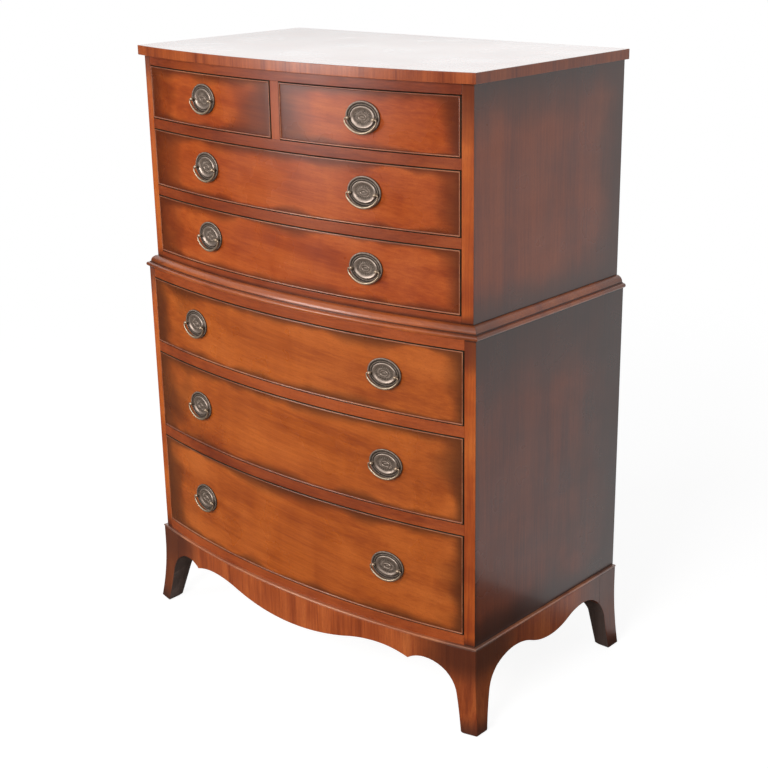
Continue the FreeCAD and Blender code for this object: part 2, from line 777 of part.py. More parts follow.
def bail():
    """Half-oval bail, thickest at its lowest point, with ends that turn in through the posts."""
    post_x = post_spacing / 2
    pin_end_x = post_x - post_ball_radius - bail_pin_past
    elbow_x = post_x + post_ball_radius + bail_shoulder_play
    r = bail_elbow_radius
    # below the elbows the rod is half an oval: an end curve on each side of one long curve
    end = bail_side_radius
    half_width = elbow_x + r
    depth = bail_drop - r
    main = (half_width ** 2 + depth ** 2 - 2 * half_width * end) / (2 * (depth - end))
    main_z = main - bail_drop
    end_x = half_width - end
    touch = math.atan2(end_x, main_z + r)

    def at(x, z):
        return Vector(x, -pivot_proud, z)

    def section(turn):
        """Round section where the rod has turned this far from level, 0 at the lowest point."""
        x, z, radius = 0.0, main_z, main
        if abs(turn) > touch:
            x, z, radius = math.copysign(end_x, turn), -r, end
        swell = (bail_swell_radius - bail_pin_radius) * math.cos(turn)
        place = at(x + radius * math.sin(turn), z - radius * math.cos(turn))
        along = Vector(math.cos(turn), 0, math.sin(turn))
        return Part.Wire(Part.makeCircle(bail_pin_radius + swell, place, along))

    parts = []
    for side in (-1, 1):
        inward = Vector(-side, 0, 0)
        shoulder = at(side * elbow_x, 0)
        middle = at(side * (elbow_x + r * math.sin(math.pi / 4)), r * math.cos(math.pi / 4) - r)
        path = Part.Wire(Part.Arc(shoulder, middle, at(side * half_width, -r)).toShape())
        disc = Part.Wire(Part.makeCircle(bail_pin_radius, shoulder, inward))
        parts.append(path.makePipeShell([disc], True, True))
        parts.append(Part.makeCylinder(bail_pin_radius, elbow_x - pin_end_x, shoulder, inward))
    turns = [math.pi / 2 - i * (math.pi / 2 - touch) / bail_side_steps
             for i in range(bail_side_steps)]
    turns += [touch - i * 2 * touch / bail_main_steps for i in range(bail_main_steps // 2 + 1)]
    turns += [-turn for turn in reversed(turns[:-1])]
    parts.append(Part.makeLoft([section(turn) for turn in turns], True, False))
    return fused(parts)


def handle_pose(x, z, radius):
    """Placement of a handle on a bowed front: its x axis along the face, -y straight out."""
    turn = math.degrees(math.asin(x / radius))
    place = Vector(x, front_y(radius, x), z)
    return FreeCAD.Placement(place, FreeCAD.Rotation(Vector(0, 0, 1), turn))


plate_shape = back_plate()
post_shapes = [post(x) for x in (-post_spacing / 2, post_spacing / 2)]
nut_shapes = [piece for x in (-post_spacing / 2, post_spacing / 2) for piece in nut_and_washer(x)]
bail_shape = bail()


def placed(shape, pose):
    copy = shape.copy()
    copy.Placement = pose.multiply(copy.Placement)
    return copy


# ---------------------------------------------------------------- drawers


def tail_gaps(x0, x1, y_root, y_tip, z0, z1):
    """The gaps between the dovetails at one end of a drawer side, narrowest at the very end."""
    count = max(2, round((z1 - z0) / dovetail_pitch))
    pitch = (z1 - z0) / count
    narrow = dovetail_pin / 2
    wide = narrow + abs(y_root - y_tip) * dovetail_slope
    tools = []
    for i in range(count + 1):
        middle = z0 + i * pitch
        corners = [(y_root, middle - wide), (y_tip, middle - narrow),
                   (y_tip, middle + narrow), (y_root, middle + wide), (y_root, middle - wide)]
        points = [Vector(x0, y, z) for y, z in corners]
        tools.append(Part.Face(Part.makePolygon(points)).extrude(Vector(x1 - x0, 0, 0)))
    return tools


def cock_beads(radius, x0, x1, z0, z1):
    """Four bead strips round a drawer front, set in rebates and rounded outside."""
    outer, inner = radius + bead_proud, radius - bead_depth
    strips = [bow_shell(outer, inner, x0, x1, z0, z0 + bead_width),
              bow_shell(outer, inner, x0, x1, z1 - bead_width, z1),
              bow_shell(outer, inner, x0, x0 + bead_width, z0 + bead_width, z1 - bead_width),
              bow_shell(outer, inner, x1 - bead_width, x1, z0 + bead_width, z1 - bead_width)]

    def on_nose(edge):
        middle = edge.valueAt((edge.FirstParameter + edge.LastParameter) / 2)
        on_face = abs(math.hypot(middle.x, middle.y - bow_y) - outer) < tolerance
        return on_face and edge.Length > 1.5 * bead_width

    return [round_long_edges(strip, (bead_width - bead_flat) / 2, on_nose) for strip in strips]


def drawer(name, radius, x0, x1, z0, z1, handle_xs):
    """A drawer in the opening x0..x1, z0..z1: front, cock beads, box, bottom and pulls."""
    fx0, fx1 = x0 + drawer_gap, x1 - drawer_gap
    fz0, fz1 = z0 + drawer_gap, z1 - drawer_gap
    inner_radius = radius - front_thickness
    w = bead_width
    board = fused([
        bow_shell(radius - bead_depth, inner_radius, fx0, fx1, fz0, fz1),
        bow_shell(radius, radius - bead_depth, fx0 + w, fx1 - w, fz0 + w, fz1 - w)])
    beads = cock_beads(radius, fx0, fx1, fz0, fz1)

    side_low = z0 + runner_play
    side_high = z1 - drawer_side_drop
    box_back = back_y - back_thickness - drawer_back_space
    bottom_low = side_low + drawer_bottom_lift
    bottom_high = bottom_low + drawer_bottom_thickness
    back_high = side_high - drawer_back_drop

    bottom = bow_board(inner_radius + bottom_groove, fx0 + drawer_side_thickness - bottom_groove,
                       fx1 - drawer_side_thickness + bottom_groove, box_back,
                       bottom_low, bottom_high)
    back_root = box_back - drawer_side_thickness
    tip_radius = radius - bead_depth - dovetail_lap
    front_low = max(side_low, fz0)
    sides = []
    for low_x, high_x in ((fx0, fx0 + drawer_side_thickness), (fx1 - drawer_side_thickness, fx1)):
        root = max(front_y(inner_radius, x) for x in (low_x, high_x))
        tip = max(front_y(tip_radius, x) for x in (low_x, high_x))
        tools = tail_gaps(low_x, high_x, root, tip, front_low, side_high)
        tools += tail_gaps(low_x, high_x, back_root, box_back, bottom_high, back_high)
        tools.append(block(low_x, high_x, tip, root, side_low - runner_play, front_low))
        tools.append(block(low_x, high_x, back_root, box_back, back_high, side_high))
        side = block(low_x, high_x, tip, box_back, side_low, side_high)
        sides.append(cut(side, tools + [bottom]))
    back = block(fx0, fx1, back_root, box_back, bottom_high, back_high)
    back = cut(back, sides)
    board = cut(board, sides + [bottom])

    posts_z = (z0 + z1) / 2 + handle_rise - post_drop
    pulls, bails = [], []
    for handle_x in handle_xs:
        pose = handle_pose(handle_x, posts_z, radius)
        for x in (-post_spacing / 2, post_spacing / 2):
            hole = Part.makeCylinder(post_neck_radius + post_hole_play, 2 * front_thickness,
                                     Vector(x, 1.5 * front_thickness, 0), Vector(0, -1, 0))
            board = board.cut(placed(hole, pose))
        pulls += [placed(piece, pose) for piece in [plate_shape] + post_shapes + nut_shapes]
        bails.append(placed(bail_shape, pose))
    keep(name + "_front", [board] + beads)
    keep(name + "_box", sides + [back])
    keep(name + "_bottom", [bottom])
    keep(name + "_pulls", pulls)
    if len(bails) == 1:
        keep(name + "_bail", bails)
    else:
        keep(name + "_left_bail", bails[:1])
        keep(name + "_right_bail", bails[1:])


drawer("top_left_drawer", upper_radius, -upper_inner, -stile_half,
       upper_levels[5], upper_levels[6], [-upper_handle_x])
drawer("top_right_drawer", upper_radius, stile_half, upper_inner,
       upper_levels[5], upper_levels[6], [upper_handle_x])
for row, opening, radius, inner, handle_x in (
        ("second_drawer", upper_levels[3:5], upper_radius, upper_inner, upper_handle_x),
        ("third_drawer", upper_levels[1:3], upper_radius, upper_inner, upper_handle_x),
        ("fourth_drawer", lower_levels[5:7], bow_radius, lower_inner, lower_handle_x),
        ("fifth_drawer", lower_levels[3:5], bow_radius, lower_inner, lower_handle_x),
        ("bottom_drawer", lower_levels[1:3], bow_radius, lower_inner, lower_handle_x)):
    drawer(row, radius, -inner, inner, opening[0], opening[1], [-handle_x, handle_x])


def stops(radius, opening_edges, z):
    """Two stop blocks on a rail, behind the closed drawer front of each opening."""
    found = []
    inner_radius = radius - front_thickness - stop_play
    for x0, x1 in opening_edges:
        width = x1 - x0
        for middle in (x0 + stop_inset * width, x1 - stop_inset * width):
            low, high = middle - stop_width / 2, middle + stop_width / 2
            found.append(bow_shell(inner_radius, inner_radius - stop_depth, low, high,
                                   z, z + stop_thickness))
    return found


drawer_stops = []
for level in (1, 3, 5):
    drawer_stops += stops(bow_radius, [(-lower_inner, lower_inner)], lower_levels[level])
for level in (1, 3):
    drawer_stops += stops(upper_radius, [(-upper_inner, upper_inner)], upper_levels[level])
drawer_stops += stops(upper_radius, [(-upper_inner, -stile_half), (stile_half, upper_inner)],
                      upper_levels[5])

# ---------------------------------------------------------------- the case nodes
keep("top", [top])
upper_right = cut(upper[0], upper_back_screws)
lower_right = cut(lower[0], lower_back_screws)
keep("upper_right_side", [upper_right])
keep("upper_left_side", [mirrored(upper_right)])
keep("lower_right_side", [lower_right])
keep("lower_left_side", [mirrored(lower_right)])
keep("back_panels", [cut(upper[4], upper_back_screws), cut(lower[4], lower_back_screws)])
keep("upper_front_rails", upper[1])
keep("lower_front_rails", lower[1])
keep("short_drawer_divider", [stile, partition])
keep("upper_drawer_runners", [piece for frame in upper_frames for piece in frame])
keep("lower_drawer_runners", [piece for frame in lower_frames for piece in frame])
keep("dust_boards", lower[3] + upper_dusts[:2] + [half_dusts])
keep("drawer_stops", drawer_stops)
keep("waist_moulding", [cut(piece, moulding_screws) for piece in (
    front_waist, side_waist, mirrored(side_waist), waist_back_rail)])
keep("front_apron", [front_apron])
keep("side_aprons", [side_apron, mirrored(side_apron)])
keep("back_apron", [back_apron])
keep("feet", [front_foot, mirrored(front_foot), back_foot, mirrored(back_foot)])
keep("corner_blocks", glue_blocks())
keep("screws", lower_back_screws + upper_back_screws + top_screws + moulding_screws)

# ---------------------------------------------------------------- files
os.makedirs("parts", exist_ok=True)
for name, found in nodes.items():
    shape = found[0] if len(found) == 1 else Part.makeCompound(found)
    shape.exportStep("parts/" + name + ".step")
    print(name, len(found), "solids", "valid" if all(s.isValid() for s in found) else "INVALID",
          round(sum(s.Volume for s in found)))
print(len(nodes), "nodes, overall", round(2 * (apron_half + foot_splay), 2), overall_depth,
      overall_height)
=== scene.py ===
# %% [markdown]
# # A bow front chest of drawers
# The chest is two mahogany cases, one on the other, on a base with swept feet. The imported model
# gives the true places of all its pieces. This lesson dresses that model: it remodels the pieces
# that show with clean, evenly divided surfaces, and gives every piece a finish.

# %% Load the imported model
import math

import bpy
from mathutils import Matrix, Vector


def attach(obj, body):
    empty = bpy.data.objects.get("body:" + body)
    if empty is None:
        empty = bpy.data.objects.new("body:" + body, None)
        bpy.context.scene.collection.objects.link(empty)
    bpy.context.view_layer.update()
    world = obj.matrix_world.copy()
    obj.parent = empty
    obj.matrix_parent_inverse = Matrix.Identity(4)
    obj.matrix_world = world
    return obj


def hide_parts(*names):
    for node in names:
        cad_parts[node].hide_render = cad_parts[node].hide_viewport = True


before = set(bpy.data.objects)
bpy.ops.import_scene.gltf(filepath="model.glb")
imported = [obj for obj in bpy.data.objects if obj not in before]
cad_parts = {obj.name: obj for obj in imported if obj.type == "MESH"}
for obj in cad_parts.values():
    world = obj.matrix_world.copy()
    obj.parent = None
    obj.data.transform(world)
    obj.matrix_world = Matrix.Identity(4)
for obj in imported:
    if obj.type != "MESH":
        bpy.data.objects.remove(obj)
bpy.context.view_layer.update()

# %% [markdown]
# ## Sizes
# All fronts, rails and mouldings of a bow front are parts of circles about one upright axis
# behind the chest. So a few widths and one radius place nearly everything. Lengths are written
# in millimetres and turned to metres once, here.

# %% The main sizes
MM = 0.001
lower_half = 465 * MM             # half the width of the lower case
bow_rise = 56 * MM                # how far the middle of the front stands out
bow_radius = (lower_half ** 2 + bow_rise ** 2) / (2 * bow_rise)
back_y = 277.35 * MM
side_depth = 491.5 * MM           # from the back to the ends of the bow
bow_y = back_y - (side_depth + bow_rise) + bow_radius
waist_set_in = 16.25 * MM
upper_half = lower_half - waist_set_in
upper_radius = bow_radius - waist_set_in
side_thickness = {"lower": 23 * MM, "upper": 24 * MM}
back_thickness = 8 * MM
lower_levels = [z * MM for z in (190, 211.5, 426.5, 449.5, 628.5, 651.5, 800.5, 821)]
upper_levels = [z * MM for z in (846, 860.5, 987, 1008, 1131.5, 1152.5, 1265, 1285)]
top_height = 1305.5 * MM
base_height = lower_levels[0]


def front_y(radius, x):
    """Y of the bowed surface of that radius at a distance x from the middle."""
    return bow_y - math.sqrt(radius ** 2 - x ** 2)


def on_bow(radius, turn, z):
    """A point of that bowed surface, by its turn about the bow axis."""
    return Vector((radius * math.sin(turn), bow_y - radius * math.cos(turn), z))


print("bow radius %.0f mm, front of the lower case at y = %.1f mm"
      % (bow_radius / MM, front_y(bow_radius, 0) / MM))

# %% [markdown]
# ## Camera, floor and light
# A cabinet is best seen from a little above, with its front and one side in view. The floor is
# pale and the light comes from large soft sources, the strongest at the left of the front, so
# the side falls into shade and the polish mirrors the pale surroundings.

# %% The camera
camera_place = Vector((2.03562, -2.20791, 1.59916))
yaw, pitch, roll = (math.radians(a) for a in (-42.07, -18.69, -0.99))
ahead = Vector((math.sin(yaw) * math.cos(pitch), math.cos(yaw) * math.cos(pitch), math.sin(pitch)))
level = ahead.cross(Vector((0, 0, 1))).normalized()
upright = level.cross(ahead)
right = math.cos(roll) * level + math.sin(roll) * upright
up = math.cos(roll) * upright - math.sin(roll) * level
bpy.ops.object.camera_add(location=camera_place)
camera = bpy.context.object
camera.name = "camera"
camera.matrix_world = Matrix((
    (right.x, up.x, -ahead.x, camera_place.x), (right.y, up.y, -ahead.y, camera_place.y),
    (right.z, up.z, -ahead.z, camera_place.z), (0, 0, 0, 1)))
camera.data.lens = 67.73
camera.data.sensor_width = 36
camera.data.clip_end = 100
bpy.context.scene.camera = camera
bpy.context.scene.view_settings.view_transform = "Standard"
print("camera looks along", tuple(round(c, 3) for c in ahead))

# %% Colours and nodes


def linear(code):
    """An sRGB colour such as #A04A22, as the linear numbers that a shader wants."""
    channels = [int(code[i:i + 2], 16) / 255 for i in (1, 3, 5)]
    return [c / 12.92 if c < 0.04045 else ((c + 0.055) / 1.055) ** 2.4 for c in channels] + [1.0]


def add(tree, kind, inputs=(), **settings):
    """Adds a node; inputs are numbers, colours or the outputs of other nodes."""
    node = tree.nodes.new(kind)
    for name, value in settings.items():
        setattr(node, name, value)
    for key, value in dict(inputs).items():
        if isinstance(value, bpy.types.NodeSocket):
            tree.links.new(value, node.inputs[key])
        else:
            node.inputs[key].default_value = value
    return node


def fresh_tree(owner):
    owner.use_nodes = True
    owner.node_tree.nodes.clear()
    return owner.node_tree


def direct_rays(tree):
    """1 for what is seen straight or mirrored, and 0 for the soft light that it gives off."""
    rays = add(tree, "ShaderNodeLightPath")
    mirrored = add(tree, "ShaderNodeMath", {
        0: rays.outputs["Is Glossy Ray"], 1: rays.outputs["Is Transmission Ray"]},
        operation="MAXIMUM").outputs[0]
    return add(tree, "ShaderNodeMath", {0: rays.outputs["Is Camera Ray"], 1: mirrored},
               operation="MAXIMUM").outputs[0]


print("orange brown #B5512A is", [round(c, 3) for c in linear("#B5512A")[:3]])

# %% The floor
bpy.ops.mesh.primitive_plane_add(size=24)
floor = bpy.context.object
floor.name = "floor"
paper = bpy.data.materials.new("matt_white_paper")   # a studio paper sweep
tree = fresh_tree(paper)
plain = add(tree, "ShaderNodeBsdfDiffuse", {"Color": linear("#E4E2DF")})
dim = add(tree, "ShaderNodeBsdfDiffuse", {"Color": linear("#959595")})
glow = add(tree, "ShaderNodeEmission", {"Color": (1, 1, 1, 1), "Strength": 0.9})
seen = add(tree, "ShaderNodeAddShader", {0: dim.outputs[0], 1: glow.outputs[0]})
# far from the chest the paper is as white as the room behind it, so no edge shows
distance = add(tree, "ShaderNodeVectorMath", {
    0: add(tree, "ShaderNodeTexCoord").outputs["Object"]}, operation="LENGTH").outputs["Value"]
far = add(tree, "ShaderNodeMapRange", {"Value": distance, "From Min": 1.2, "From Max": 3.2},
          interpolation_type="SMOOTHSTEP").outputs[0]
white = add(tree, "ShaderNodeEmission", {"Color": (1, 1, 1, 1), "Strength": 1.0})
seen = add(tree, "ShaderNodeMixShader", {0: far, 1: seen.outputs[0], 2: white.outputs[0]})
both = add(tree, "ShaderNodeMixShader", {0: direct_rays(tree), 1: plain.outputs[0],
                                         2: seen.outputs[0]})
add(tree, "ShaderNodeOutputMaterial", {"Surface": both.outputs[0]})
floor.data.materials.append(paper)
print("floor", tuple(floor.dimensions))

# %% [markdown]
# Polish shows what lies around it. In a studio the paper hangs just behind the object, and the
# floor and walls in front of it are dull and dark, which keeps the colour of the fronts deep.
# These surfaces are there only for reflections: the camera and the soft light don't see them.

# %% The studio in front of the paper
studio_parts = []
for place, turn, size in (((0, -4.335, 0.003), (0, 0, 0), (18, 9.33)),
                          ((0, -9, 2), (90, 0, 0), (18, 4)),
                          ((-9, -4.335, 2), (90, 0, 90), (9.33, 4)),
                          ((9, -4.335, 2), (90, 0, 90), (9.33, 4))):
    bpy.ops.mesh.primitive_plane_add(size=1, location=place,
                                     rotation=[math.radians(a) for a in turn])
    bpy.ops.transform.resize(value=(size[0], size[1], 1), orient_type="LOCAL")
    studio_parts.append(bpy.context.object)
for part in studio_parts:
    part.select_set(True)
bpy.ops.object.join()
studio = bpy.context.object
studio.name = "dull_studio"
bpy.ops.object.transform_apply(location=True, rotation=True, scale=True)
for ray in ("camera", "diffuse", "shadow", "transmission", "volume_scatter"):
    setattr(studio, "visible_" + ray, False)
concrete = bpy.data.materials.new("painted_grey_studio")
tree = fresh_tree(concrete)
grey = add(tree, "ShaderNodeBsdfDiffuse", {"Color": linear("#8A8178")})
add(tree, "ShaderNodeOutputMaterial", {"Surface": grey.outputs[0]})
studio.data.materials.append(concrete)
print("studio", tuple(round(c, 1) for c in studio.dimensions))

# %% World and lamps
world = bpy.data.worlds.new("pale_room")
bpy.context.scene.world = world
tree = fresh_tree(world)
room = add(tree, "ShaderNodeBackground", {"Color": (1, 1, 1, 1), "Strength": 0.2})
white = add(tree, "ShaderNodeBackground", {"Color": (1, 1, 1, 1), "Strength": 1.0})
both = add(tree, "ShaderNodeMixShader", {0: direct_rays(tree), 1: room.outputs[0],
                                         2: white.outputs[0]})
add(tree, "ShaderNodeOutputWorld", {"Surface": both.outputs[0]})


def soft_lamp(name, place, aim, width, height, power):
    """A rectangular softbox that faces its aim and isn't seen itself."""
    bpy.ops.object.light_add(type="AREA", location=place)
    lamp = bpy.context.object
    lamp.name = name
    lamp.rotation_euler = (Vector(aim) - Vector(place)).to_track_quat("-Z", "Y").to_euler()
    lamp.data.shape = "RECTANGLE"
    lamp.data.size, lamp.data.size_y = width, height
    lamp.data.energy = power
    lamp.visible_camera = False
    print(name, "%.1f x %.1f m, %d W" % (width, height, power))
    return lamp


soft_lamp("front_softbox", (1.0, -4.0, 2.4), (0, 0, 0.7), 1.8, 1.8, 96)
soft_lamp("left_softbox", (-2.0, -3.0, 1.35), (0, 0, 0.95), 1.1, 1.3, 42)
soft_lamp("back_softbox", (-2.3, 2.6, 2.45), (0, 0, 1.25), 3.4, 1.7, 5)

# %% [markdown]
# ## Mahogany
# Mahogany is an orange to red brown hardwood with short dark pores, long soft streaks and, in
# veneer, a cloudy figure that crosses the grain. Here it is stained, shaded darker towards the
# edges of each board and rubbed to a satin lacquer, which gives broad soft highlights. Noise
# textures that are stretched along the grain draw all of this, on the object's own coordinates.

# %% The figure of mahogany
GRAIN_AXES = {"x": 0, "y": 1, "z": 2}


def stretched(tree, coordinates, grain, along, across):
    """Coordinates for a texture with so many features per metre along and across the grain."""
    rates = [across] * 3
    rates[GRAIN_AXES[grain]] = along
    return add(tree, "ShaderNodeMapping", {"Vector": coordinates, "Scale": rates}).outputs[0]


def figure(tree, here, grain, bands, mottle, streaks):
    """Bands, clouds and streaks, added up to one tone round 0.5, and the streaks alone."""
    layers = (  # features per metre along and across the grain, noise settings, weight
        (1.6, 17, 3.0, 0.5, 0.7, 0.95 * bands),     # growth bands, 30 to 90 mm wide
        (13, 6.5, 2.5, 0.55, 0.4, 0.8 * mottle),    # cloudy figure across the grain, 40 to 120 mm
        (9, 240, 4.0, 0.6, 0.0, 0.6 * streaks))     # streaks, 2 to 5 mm wide
    tone = 0.5
    for along, across, detail, roughness, distortion, weight in layers:
        layer = add(tree, "ShaderNodeTexNoise", {
            "Vector": stretched(tree, here, grain, along, across), "Scale": 1.0,
            "Detail": detail, "Roughness": roughness, "Distortion": distortion}).outputs["Fac"]
        centred = add(tree, "ShaderNodeMath", {0: layer, 1: -0.5}, operation="ADD").outputs[0]
        tone = add(tree, "ShaderNodeMath", {0: centred, 1: weight, 2: tone},
                   operation="MULTIPLY_ADD").outputs[0]
    return tone, layer


def open_pores(tree, here, grain):
    """Short dark pores; real ones are 0.1 mm wide, drawn 0.6 mm so that they show."""
    pores = add(tree, "ShaderNodeTexNoise", {
        "Vector": stretched(tree, here, grain, 90, 1500), "Scale": 1.0, "Detail": 2.0,
        "Roughness": 0.5}).outputs["Fac"]
    return add(tree, "ShaderNodeMapRange", {
        "Value": pores, "From Min": 0.55, "From Max": 0.72, "To Min": 0.0, "To Max": 0.55},
        interpolation_type="SMOOTHSTEP").outputs[0]


print("grain can run along", " or ".join(GRAIN_AXES))

# %% Toner towards the edges of a board


def shaded_edges(tree, here, colour, shade, reach, patch):
    """Darkens a board towards its edges, as a finisher does with a spray of dark toner, and
    draws a thin dark line of dust and painted shade right along them.

    The board's own UV map is in metres from its lower left corner, and its attribute
    board_size holds its width and height."""
    place = add(tree, "ShaderNodeUVMap", uv_map="face").outputs[0]
    u, v = add(tree, "ShaderNodeSeparateXYZ", {0: place}).outputs[:2]
    size = add(tree, "ShaderNodeAttribute", attribute_name="board_size").outputs["Vector"]
    width, height = add(tree, "ShaderNodeSeparateXYZ", {0: size}).outputs[:2]
    patchy = add(tree, "ShaderNodeTexNoise", {"Vector": here, "Scale": 10.0, "Detail": 1.5,
                                              "Roughness": 0.5}).outputs["Fac"]
    uneven = add(tree, "ShaderNodeMapRange", {"Value": patchy, "From Min": 0.3, "From Max": 0.7,
                                              "To Min": 1 - 0.65 * patch,
                                              "To Max": 1 + 0.7 * patch}).outputs[0]
    right_gap = add(tree, "ShaderNodeMath", {0: width, 1: u}, operation="SUBTRACT").outputs[0]
    upper_gap = add(tree, "ShaderNodeMath", {0: height, 1: v}, operation="SUBTRACT").outputs[0]
    clean, near = None, None
    for gap, far in ((u, reach[0]), (right_gap, reach[1]), (v, reach[2]), (upper_gap, reach[3])):
        if not far:
            continue
        near = gap if near is None else add(
            tree, "ShaderNodeMath", {0: near, 1: gap}, operation="MINIMUM").outputs[0]
        spread = add(tree, "ShaderNodeMath", {0: uneven, 1: far * MM},
                     operation="MULTIPLY").outputs[0]
        share = add(tree, "ShaderNodeMapRange", {"Value": gap, "From Min": 0.0,
                                                 "From Max": spread, "To Min": 0.0,
                                                 "To Max": 1.0},
                    interpolation_type="SMOOTHSTEP").outputs[0]
        clean = share if clean is None else add(
            tree, "ShaderNodeMath", {0: clean, 1: share}, operation="MULTIPLY").outputs[0]
    toner = add(tree, "ShaderNodeMapRange", {"Value": clean, "From Min": 0.0, "From Max": 1.0,
                                             "To Min": 0.8, "To Max": 0.0}).outputs[0]
    colour = add(tree, "ShaderNodeMix", {0: toner, 6: colour, 7: linear(shade)},
                 data_type="RGBA").outputs[2]
    # a thin dark line of dust and painted shade along the edges, where the board meets its bead or
    # the next part
    rim = add(tree, "ShaderNodeMapRange", {"Value": near, "From Min": 0.6 * MM,
                                           "From Max": 3.6 * MM, "To Min": 0.85,
                                           "To Max": 0.0}).outputs[0]
    return add(tree, "ShaderNodeMix", {0: rim, 6: colour, 7: linear("#1E0E08")},
               data_type="RGBA").outputs[2]


print("toner follows the UV map called face and the attribute board_size")

# %% The shared mahogany shader


def lacquered_mahogany(name, grain, dark, middle, light, shade=None, bands=1.0, streaks=1.0,
                       mottle=1.0, rough=0.34, coat=0.0, coat_rough=0.12, relief=0.1, slant=0,
                       reach=None, patch=1.0):
    """Stained mahogany under lacquer; shade is the colour that its board edges are darkened to,
    over the four reaches in mm from its left, right, lower and upper edge, as unevenly as
    patch says."""
    material = bpy.data.materials.new(name)
    tree = fresh_tree(material)
    board = add(tree, "ShaderNodeTexCoord").outputs["Object"]
    # the veneer is never cut quite along its grain
    here = add(tree, "ShaderNodeMapping", {"Vector": board,
                                           "Rotation": (0, math.radians(slant), 0)}).outputs[0]
    tone, streak = figure(tree, here, grain, bands, mottle, streaks)
    pores = open_pores(tree, here, grain)
    ramp = add(tree, "ShaderNodeValToRGB", {"Fac": tone})
    ramp.color_ramp.interpolation = "B_SPLINE"
    stops = ramp.color_ramp.elements
    stops[0].position, stops[0].color = 0.18, linear(dark)
    stops[1].position, stops[1].color = 0.84, linear(light)
    stops.new(0.5).color = linear(middle)
    colour = ramp.outputs[0]
    colour = add(tree, "ShaderNodeMix", {0: pores, 6: colour, 7: linear(dark)},
                 data_type="RGBA").outputs[2]
    if shade:
        colour = shaded_edges(tree, board, colour, shade, reach, patch)
    grain_height = add(tree, "ShaderNodeMath", {0: pores, 1: -1.0, 2: streak},
                       operation="MULTIPLY_ADD").outputs[0]
    bump = add(tree, "ShaderNodeBump", {"Height": grain_height, "Strength": relief,
                                        "Distance": 0.2 * MM}).outputs[0]
    smudge = add(tree, "ShaderNodeTexNoise", {"Vector": here, "Scale": 9.0, "Detail": 3.0})
    roughness = add(tree, "ShaderNodeMapRange", {
        "Value": smudge.outputs["Fac"], "From Min": 0.3, "From Max": 0.7,
        "To Min": rough - 0.05, "To Max": rough + 0.06}).outputs[0]
    shader = add(tree, "ShaderNodeBsdfPrincipled", {
        "Base Color": colour, "Roughness": roughness, "Normal": bump,
        "Specular IOR Level": 0.4, "Coat Weight": coat, "Coat Roughness": coat_rough})
    add(tree, "ShaderNodeOutputMaterial", {"Surface": shader.outputs[0]})
    return material


print("the mahogany shader reads each piece's own coordinates")

# %% The mahogany finishes
RED = ("#86300F", "#AE4C18", "#C46428")
BROWN = ("#88380F", "#B25618", "#C86A28")
drawer_mahogany = {
    "upper": lacquered_mahogany(
        "rubbed_mahogany_veneer_red", "x", *RED, shade="#421A0A", mottle=0.55, slant=-4,
        rough=0.29, relief=0.05, reach=(100, 48, 16, 19)),
    "upper_left": lacquered_mahogany(
        "rubbed_mahogany_veneer_end_shaded", "x", *RED, shade="#421A0A", mottle=0.55, slant=-4,
        rough=0.29, relief=0.05, reach=(90, 105, 16, 21)),
    "lower": lacquered_mahogany(
        "rubbed_mahogany_veneer_brown", "x", *BROWN, shade="#3E1E0C", mottle=0.55, slant=-5,
        rough=0.3, relief=0.05, reach=(120, 55, 18, 22))}
rail_mahogany = {
    "upper": lacquered_mahogany(
        "lacquered_mahogany_rail_red", "x", "#64240C", "#8C3A16", "#A44E20", mottle=0.5,
        relief=0.05),
    "lower": lacquered_mahogany(
        "lacquered_mahogany_rail", "x", "#702A10", "#9C461A", "#B85824", mottle=0.5,
        relief=0.05)}
divider_mahogany = lacquered_mahogany(
    "lacquered_mahogany_divider", "z", "#7A2C10", "#A04618", "#B85C24", relief=0.05)
stile_mahogany = lacquered_mahogany(
    "lacquered_mahogany_stile", "z", "#86320E", "#B25018", "#CC6C24", shade="#54200E",
    relief=0.05, reach=(0, 0, 25, 120))
side_mahogany = {
    "upper": lacquered_mahogany(
        "lacquered_mahogany_side_upper", "z", "#6E2C14", "#98441C", "#AE5426", shade="#2A150C",
        coat=0.35, rough=0.3, mottle=0.6, relief=0.03, reach=(14, 120, 85, 110), patch=0.5),
    "lower": lacquered_mahogany(
        "lacquered_mahogany_side_lower", "z", "#542218", "#78361C", "#8E4424", shade="#28140C",
        coat=0.25, rough=0.3, mottle=0.6, relief=0.03, reach=(20, 240, 90, 210), patch=0.5)}
top_mahogany = lacquered_mahogany(
    "polished_mahogany_top", "x", "#702C12", "#94431A", "#AC5626", coat=1.0, coat_rough=0.08,
    rough=0.3, relief=0.006)
crossband_mahogany = lacquered_mahogany(
    "crossbanded_mahogany", "z", "#70290F", "#A04A1E", "#BC602C", streaks=1.3, bands=1.2,
    mottle=0.3, coat=0.3, coat_rough=0.25, relief=0.05)
print("mahogany finishes:", len([m for m in bpy.data.materials if "mahogany" in m.name]))

# %% [markdown]
# The finisher's toner also gathers round the corners of the waist moulding and of the base, and
# leaves the middle of each side bright. Along the quirk of the moulding a painted shade darkens
# the wood. Boards that meet at a corner share one finish, whose toner depends on the distance
# from the nearest corner of the chest, so that no joint shows.

# %% Toner over a finish


def object_place(tree):
    """The place on the object, and its x, y and z."""
    here = add(tree, "ShaderNodeTexCoord").outputs["Object"]
    return here, *add(tree, "ShaderNodeSeparateXYZ", {0: here}).outputs[:3]


def cover_with(material, share, shade):
    """Mixes a darker colour over a finish, by a share from 0 to 1."""
    tree = material.node_tree
    shader = next(node for node in tree.nodes if node.type == "BSDF_PRINCIPLED")
    colour = shader.inputs["Base Color"].links[0].from_socket
    mixed = add(tree, "ShaderNodeMix", {0: share, 6: colour, 7: linear(shade)},
                data_type="RGBA").outputs[2]
    tree.links.new(mixed, shader.inputs["Base Color"])


print("a cover colour is mixed in before the shader")

# %% Toner round the corners, and dark lines of toner and of painted shade
corner_x, corner_front_y, corner_back_y = 0.471, -0.21, 0.277


